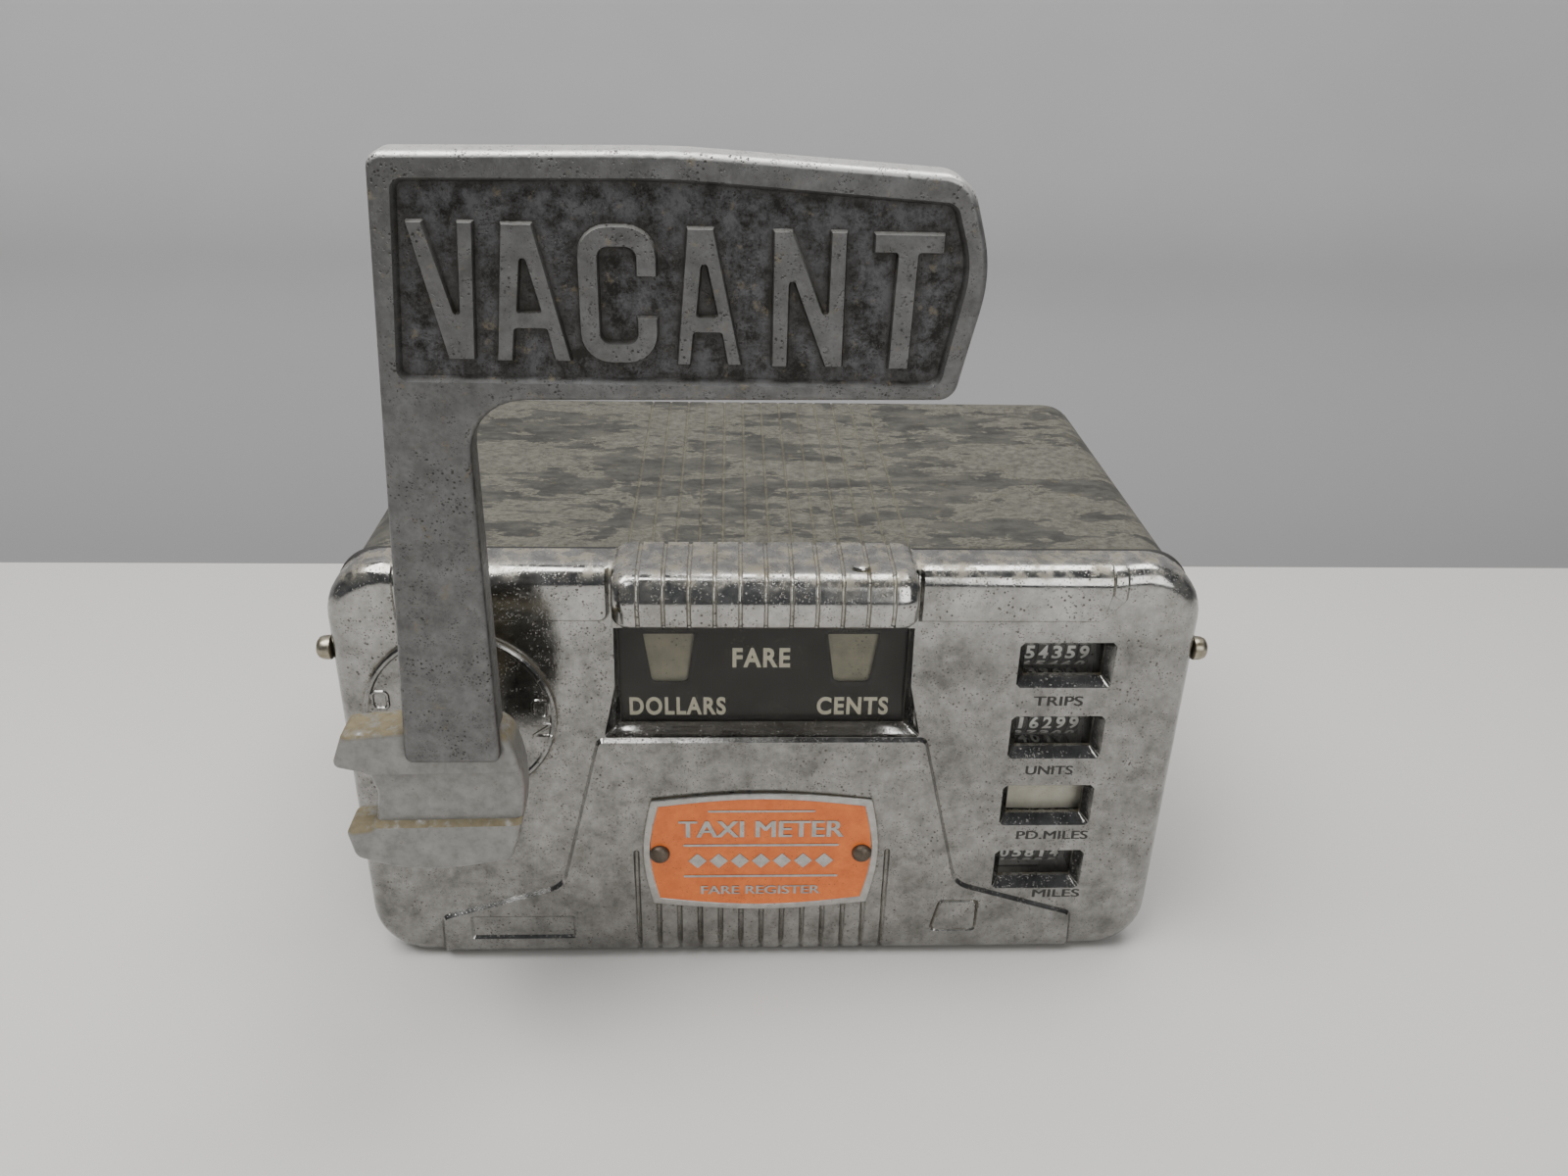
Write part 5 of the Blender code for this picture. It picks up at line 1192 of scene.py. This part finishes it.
def side_screws():
    for node, side, turn in (("seal_screw_left", -1, AXIS_LEFT), ("seal_screw_right", 1, AXIS_RIGHT)):
        low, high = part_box(node)
        seat = side * (COVER_HIGH.x + HAIR)
        length = abs((high.x if side > 0 else low.x) - seat)
        shape = turned(drilled_head((high.z - low.z) / 2, length, 0.8 * MM), 40)
        place = placed(seat, (low.y + high.y) / 2, (low.z + high.z) / 2, turn)
        piece(node + "_head", shifted(shape, place), BRASS, "casework", [node])
    low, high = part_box("case_screw_right")
    seat = CASE_HIGH.x
    shape = turned(dome((high.z - low.z) / 2, high.x - seat - 0.05 * MM, 0.5 * MM), 40)
    place = placed(seat, (low.y + high.y) / 2, (low.z + high.z) / 2, AXIS_RIGHT)
    piece("case_screw_head", shifted(shape, place), STEEL, "casework", ["case_screw_right"])


def power_socket():
    """The flanged inlet: bevelled flange with four screws, barrel, pins and a key rib."""
    low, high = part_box("power_socket")
    x, z, half = (low.x + high.x) / 2, (low.z + high.z) / 2, (high.x - low.x) / 2
    seat = CASE_HIGH.y

    def flange(inset):
        return rectangle(inset - half, half - inset, inset - half, half - inset, 3.2 * MM - inset)

    def front(points):
        return -2.2 * MM + round_edge(depth_in(points, flange(0)), 0.7 * MM)

    parts = [relief(flange(0), front, 0.0, [circle(10.4 * MM)], round_loops(flange, 0.7 * MM, 4))]
    barrel = mm((9.5, 1), (12, 1), (12, 2.9), (11.4, 3.1), (11.4, 10.6), (11, 11.7))
    barrel += mm((10.4, 12), (9.9, 11.8), (9.5, 11.2), (9.5, 1))
    rings = [[(r * math.cos(t), -y, r * math.sin(t)) for t in around(64)] for r, y in barrel]
    parts.append(loft(rings, caps=False))
    floor = turned(mm((0, 1.4), (9.6, 1.4), (9.6, 2), (0, 2)), 64)
    parts.append(shifted(floor, AXIS_Y))
    key = rectangle(-1.2 * MM, 1.2 * MM, 8.6 * MM, 9.7 * MM, 0.3 * MM)
    parts.append(relief(key, level(-10 * MM), -1.5 * MM))
    back = placed(x, seat, z, Matrix.Rotation(math.pi, 4, "Z"))
    shape = shifted(joined(*parts), back)
    piece("socket_body", shape, MOULDING, "casework", ["power_socket"])
    metal = []
    pin = turned(mm((0, 1.5), (1, 1.5), (1, 9.2), (0.7, 9.9), (0, 10)), 20)
    for turn in around(5):
        metal.append(shifted(pin, placed(5.2 * MM * math.cos(turn), 0, 5.2 * MM * math.sin(turn), AXIS_Y)))
    for u in (-1, 1):
        for v in (-1, 1):
            head = turned(dome(1.9 * MM, 1.2 * MM, 0.3 * MM), 28)
            metal.append(shifted(head, placed(u * 12.7 * MM, -2.1 * MM, v * 12.7 * MM, AXIS_Y)))
    piece("socket_metal", shifted(joined(*metal), back), STEEL, "casework")


# ---- Flag and hub ----
def from_shaft(corners):
    """Corners in millimetres from the shaft's axis."""
    return [(SHAFT.x + u * MM, SHAFT.z + v * MM, radius * MM) for u, v, radius in corners]


def flag_line():
    return outline(from_shaft([
        (-4.3, 12.5, 2), (17.9, 12.5, 2), (17.9, 100.8, 12), (117.0, 101.8, 4), (122.6, 128.0, 30),
        (117.2, 146.3, 8), (60.75, 149.8, 200), (3.7, 149.0, 3.5),
    ]), 10)


def recess_line():
    return outline(from_shaft([
        (4.8, 104.9, 2.5), (113.8, 104.6, 3), (118.4, 129.0, 20),
        (114.6, 141.2, 3), (60.0, 144.9, 200), (7.9, 144.2, 2.5),
    ]), 8)


LETTERS = {
    "V": [[(0, 1), (0.45, 0), (0.87, 0), (1, 1), (0.74, 1), (0.655, 0.28), (0.27, 1)]],
    "A": [[(0.17, 1), (0, 0), (0.23, 0), (0.28, 0.24), (0.67, 0.24), (0.76, 0), (1, 0), (0.58, 1)],
          [(0.33, 0.37), (0.61, 0.37), (0.42, 0.80)]],
    "N": [[(0, 0), (0.24, 0), (0.25, 0.68), (0.74, 0), (1, 0),
           (1, 1), (0.76, 1), (0.75, 0.36), (0.27, 1), (0, 1)]],
    "T": [[(0, 1), (0, 0.85), (0.33, 0.85), (0.28, 0), (0.6, 0), (0.65, 0.85), (1, 0.85), (1, 1)]],
}
WORD = (
    ("V", 9.7, 23.3), ("A", 25.1, 40.7), ("C", 41.8, 57.9),
    ("A", 60.8, 74.5), ("N", 79.7, 94.7), ("T", 99.2, 113.7),
)  # each letter, with its left and right in millimetres from the shaft


def letter_c(left, right, low, high):
    """An open round letter with flat ends."""
    stroke, wide = 4.4, 6.2
    corners = [(right, low + 9.5, 0.3), (right, low, wide), (left, low, wide), (left, high, wide)]
    corners += [(right, high, wide), (right, high - 10, 0.3), (right - stroke, high - 10, 0.3)]
    corners += [(right - stroke, high - stroke, wide - stroke)]
    corners += [(left + stroke, high - stroke, wide - stroke), (left + stroke, low + stroke, wide - stroke)]
    corners += [(right - stroke, low + stroke, wide - stroke), (right - stroke, low + 9.5, 0.3)]
    return [outline(from_shaft(corners), 6)[::-1]]


def word_lines():
    """Each letter of the word as its lines, all anticlockwise; a second line is the hole in it."""
    letters = []
    for letter, left, right in WORD:
        left, right = left - 0.3, right - 0.7
        low, high = 109.4 - 0.012 * left, 136.6 - 0.012 * left
        if letter == "C":
            letters.append(letter_c(left, right, low, high))
            continue
        lines = []
        for unit in LETTERS[letter]:
            corners = [(left + u * (right - left), low + v * (high - low), 0.35) for u, v in unit]
            lines.append(outline(from_shaft(corners), 3))
        letters.append(lines)
    for lines in letters:
        for line in lines:
            area = sum(line[i - 1].x * line[i].y - line[i].x * line[i - 1].y for i in range(len(line)))
            if area < 0:
                line.reverse()
    return letters


def flag_arm():
    face = ARM_LOW.y
    recess = recess_line()
    letters = word_lines()
    outer = flag_line()
    lap_z = HUB_HIGH.z + 0.35 * MM
    radius = 1.6 * MM

    def raised(points, lines, draft):
        up = rise(depth_in(points, lines[0]), draft)
        for hole in lines[1:]:
            up = np.minimum(up, rise(-depth_in(points, hole), draft))
        return up

    def front(points):
        y = face + round_edge(depth_in(points, outer), radius)
        y = y + 1.9 * MM * rise(depth_in(points, recess), 0.9 * MM)
        for lines in letters:
            y = y - 1.5 * MM * raised(points, lines, 0.4 * MM)
        return y

    def back(points):
        edge = round_edge(depth_in(points, outer), 1.2 * MM)
        return np.where(points[:, 1] > lap_z, ARM_HIGH.y - edge, face + 2.7 * MM)

    loops = round_loops(lambda inset: offset(outer, inset), radius, 6)
    loops += [recess, offset(recess, 0.45 * MM), offset(recess, 0.9 * MM)]
    for lines in letters:
        loops += [lines[0], offset(lines[0], 0.4 * MM)]
        loops += [loop for hole in lines[1:] for loop in (hole, offset(hole, -0.4 * MM))]
    lap = []
    for z in (lap_z, lap_z + 0.05 * MM):
        lap.append([Vector((SHAFT.x - 10 * MM, z)), Vector((SHAFT.x + 24 * MM, z))])
    shape = relief(outer, front, back, (), loops, lap)
    piece("cast_flag", shape, FLAG_METAL, "flag", ["flag_arm"], sharp=38, tidy=False)


def hub_line():
    """The knob's outline: barrel-shaped, with two wings round a finger channel at its left."""
    return outline(from_shaft([
        (-21.8, -8.9, 1.8), (-20.2, -17.5, 3), (-11.2, -20.5, 12), (0, -21.8, 50), (17.8, -18.5, 3),
        (24.0, 2.0, 45), (19.0, 19.5, 6), (0, 20.3, 50), (-19.2, 18.4, 2), (-22.6, 9.2, 1.8),
        (-14.8, 7.4, 2.5), (-13.2, 0, 8), (-14.6, -8.3, 2.5),
    ]), 8)


def handle_hub():
    outer = hub_line()
    face = HUB_LOW.y
    back_y = face + 11 * MM
    radius = 1.8 * MM
    middle_line = outline(from_shaft([(-40, -8.6, 0), (40, -7.2, 0), (40, 8.6, 0), (-40, 7.2, 0)]))

    def front(points):
        y = face + round_edge(depth_in(points, outer), radius)
        return y + 1.9 * MM * rise(depth_in(points, middle_line), 1.0 * MM)

    def back(points):
        return back_y - round_edge(depth_in(points, outer), radius)

    loops = round_loops(lambda inset: offset(outer, inset), radius, 6)
    loops += [middle_line, offset(middle_line, 0.5 * MM), offset(middle_line, 1.0 * MM)]
    slab = relief(outer, front, back, (), loops)
    neck_end = DISC_LOW.y - 0.7 * MM
    long = neck_end - back_y
    profile = mm((0, -2), (11, -2), (11, 0), (10.6, 1.5)) + [(10.2 * MM, long * 0.5)]
    profile += [(10.6 * MM, long - 1.5 * MM), (11 * MM, long - 0.5 * MM), (10.6 * MM, long), (0, long)]
    neck = shifted(turned(profile, 64), placed(SHAFT.x, back_y, SHAFT.z, AXIS_BACK))
    piece("cast_hub", joined(slab, neck), HUB_PAINT, "flag", ["handle_hub"], sharp=38)


# ---- What keeps its CAD shape ----
KEPT = (
    (GLASS, ("window_glass", "counter_glass", "lamp_bulb")),
    (STEEL, ("flag_screw", "hub_pin", "flag_shaft", "flag_cam", "detent_lever", "chassis_frame", "drum_axle",
             "ratchet_wheel", "solenoid_plunger", "drive_pawl", "time_motor", "counter_frame")),
    (BRASS, ("shaft_bush", "lamp_socket")),
    (SHUTTER, ("fare_shutter",)),
    (MOULDING, ("step_solenoid",)),
)


def finish_nodes():
    for paint, names in KEPT:
        for name in names:
            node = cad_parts[name]
            if not node.material_slots:
                node.data.materials.append(paint)
            for slot in node.material_slots:
                slot.material = paint


# ---- Stage, light and camera ----
def sweep():
    """A pale floor that turns up into a backdrop behind the object."""
    floor = stage_cloth("floor_cloth", (0.73, 0.71, 0.68), (0.65, 0.63, 0.60), (0.575, 0.56, 0.535))
    # The wall's foot colour is painted shade near the floor.
    wall = stage_cloth("wall_cloth", (0.41, 0.405, 0.41), (0.34, 0.335, 0.34), (0.21, 0.205, 0.205))
    bend, wide = 0.12, 1.6
    start = CASE_HIGH.y + 0.13
    floor_points = [(-1.6, 0), (-0.6, 0), (start, 0)]
    turns = [math.pi / 2 * step / 16 for step in range(17)]
    arc = [(start + bend * math.sin(t), bend * (1 - math.cos(t))) for t in turns]
    wall_points = arc + [(start + bend, 0.8), (start + bend, 1.8)]
    for name, line, cloth in (("floor", floor_points, floor), ("backdrop", wall_points, wall)):
        rings = [[(-wide, y, z - 0.02 * MM), (wide, y, z - 0.02 * MM)] for y, z in line]
        vertices, faces = loft(rings, closed=False, caps=False)
        mesh = bpy.data.meshes.new(name)
        mesh.from_pydata(vertices, [], faces)
        mesh.materials.append(cloth)
        mesh.shade_smooth()
        obj = bpy.data.objects.new(name, mesh)
        bpy.context.scene.collection.objects.link(obj)


def lamp(name, place, target, size, power, color=(1, 1, 1)):
    data = bpy.data.lights.new(name, "AREA")
    data.size = size
    data.energy = power
    data.color = color
    obj = bpy.data.objects.new(name, data)
    obj.location = place
    obj.rotation_euler = (Vector(target) - Vector(place)).to_track_quat("-Z", "Y").to_euler()
    bpy.context.scene.collection.objects.link(obj)


def lights():
    lamp("key", (-0.45, -0.35, 1.2), (0, 0, 0.08), 0.8, 19)
    lamp("rear", (0.30, 0.10, 1.2), (0, 0, 0.1), 0.6, 9)
    lamp("fill", (0.7, -1.3, 0.75), (0, 0, 0.1), 0.9, 9)
    world = bpy.data.worlds.new("studio")
    world.use_nodes = True
    world.node_tree.nodes["Background"].inputs["Color"].default_value = (0.80, 0.84, 0.90, 1)
    world.node_tree.nodes["Background"].inputs["Strength"].default_value = 0.14
    bpy.context.scene.world = world


CAMERA_PLACE = (-10.3 * MM, -353.65 * MM, 268.6 * MM)
CAMERA_YAW, CAMERA_PITCH, CAMERA_ROLL = 2.76, 26.96, -1.42  # degrees: right, down, about the view
CAMERA_LENS = 28.81  # millimetres, on a sensor 36 mm wide


def camera():
    yaw, pitch, roll = (math.radians(a) for a in (CAMERA_YAW, CAMERA_PITCH, CAMERA_ROLL))
    ahead = Vector((math.sin(yaw) * math.cos(pitch), math.cos(yaw) * math.cos(pitch), -math.sin(pitch)))
    level = Vector((math.cos(yaw), -math.sin(yaw), 0))
    below = ahead.cross(level)
    right = math.cos(roll) * level + math.sin(roll) * below
    down = -math.sin(roll) * level + math.cos(roll) * below
    data = bpy.data.cameras.new("camera")
    data.sensor_width = 36
    data.lens = CAMERA_LENS
    data.clip_start = 0.01
    obj = bpy.data.objects.new("camera", data)
    obj.matrix_world = Matrix.Translation(CAMERA_PLACE) @ Matrix((right, -down, -ahead)).transposed().to_4x4()
    bpy.context.scene.collection.objects.link(obj)
    bpy.context.scene.camera = obj


def build():
    front_cover()
    counter_labels()
    lamp_hood()
    hood_pin()
    dial_mask()
    mask_words()
    counter_wheels()
    fare_drums()
    paper_label()
    name_plate()
    plate_rivets()
    position_disc()
    case_shell()
    gasket()
    side_screws()
    power_socket()
    flag_arm()
    handle_hub()
    finish_nodes()
    sweep()
    lights()
    camera()


build()
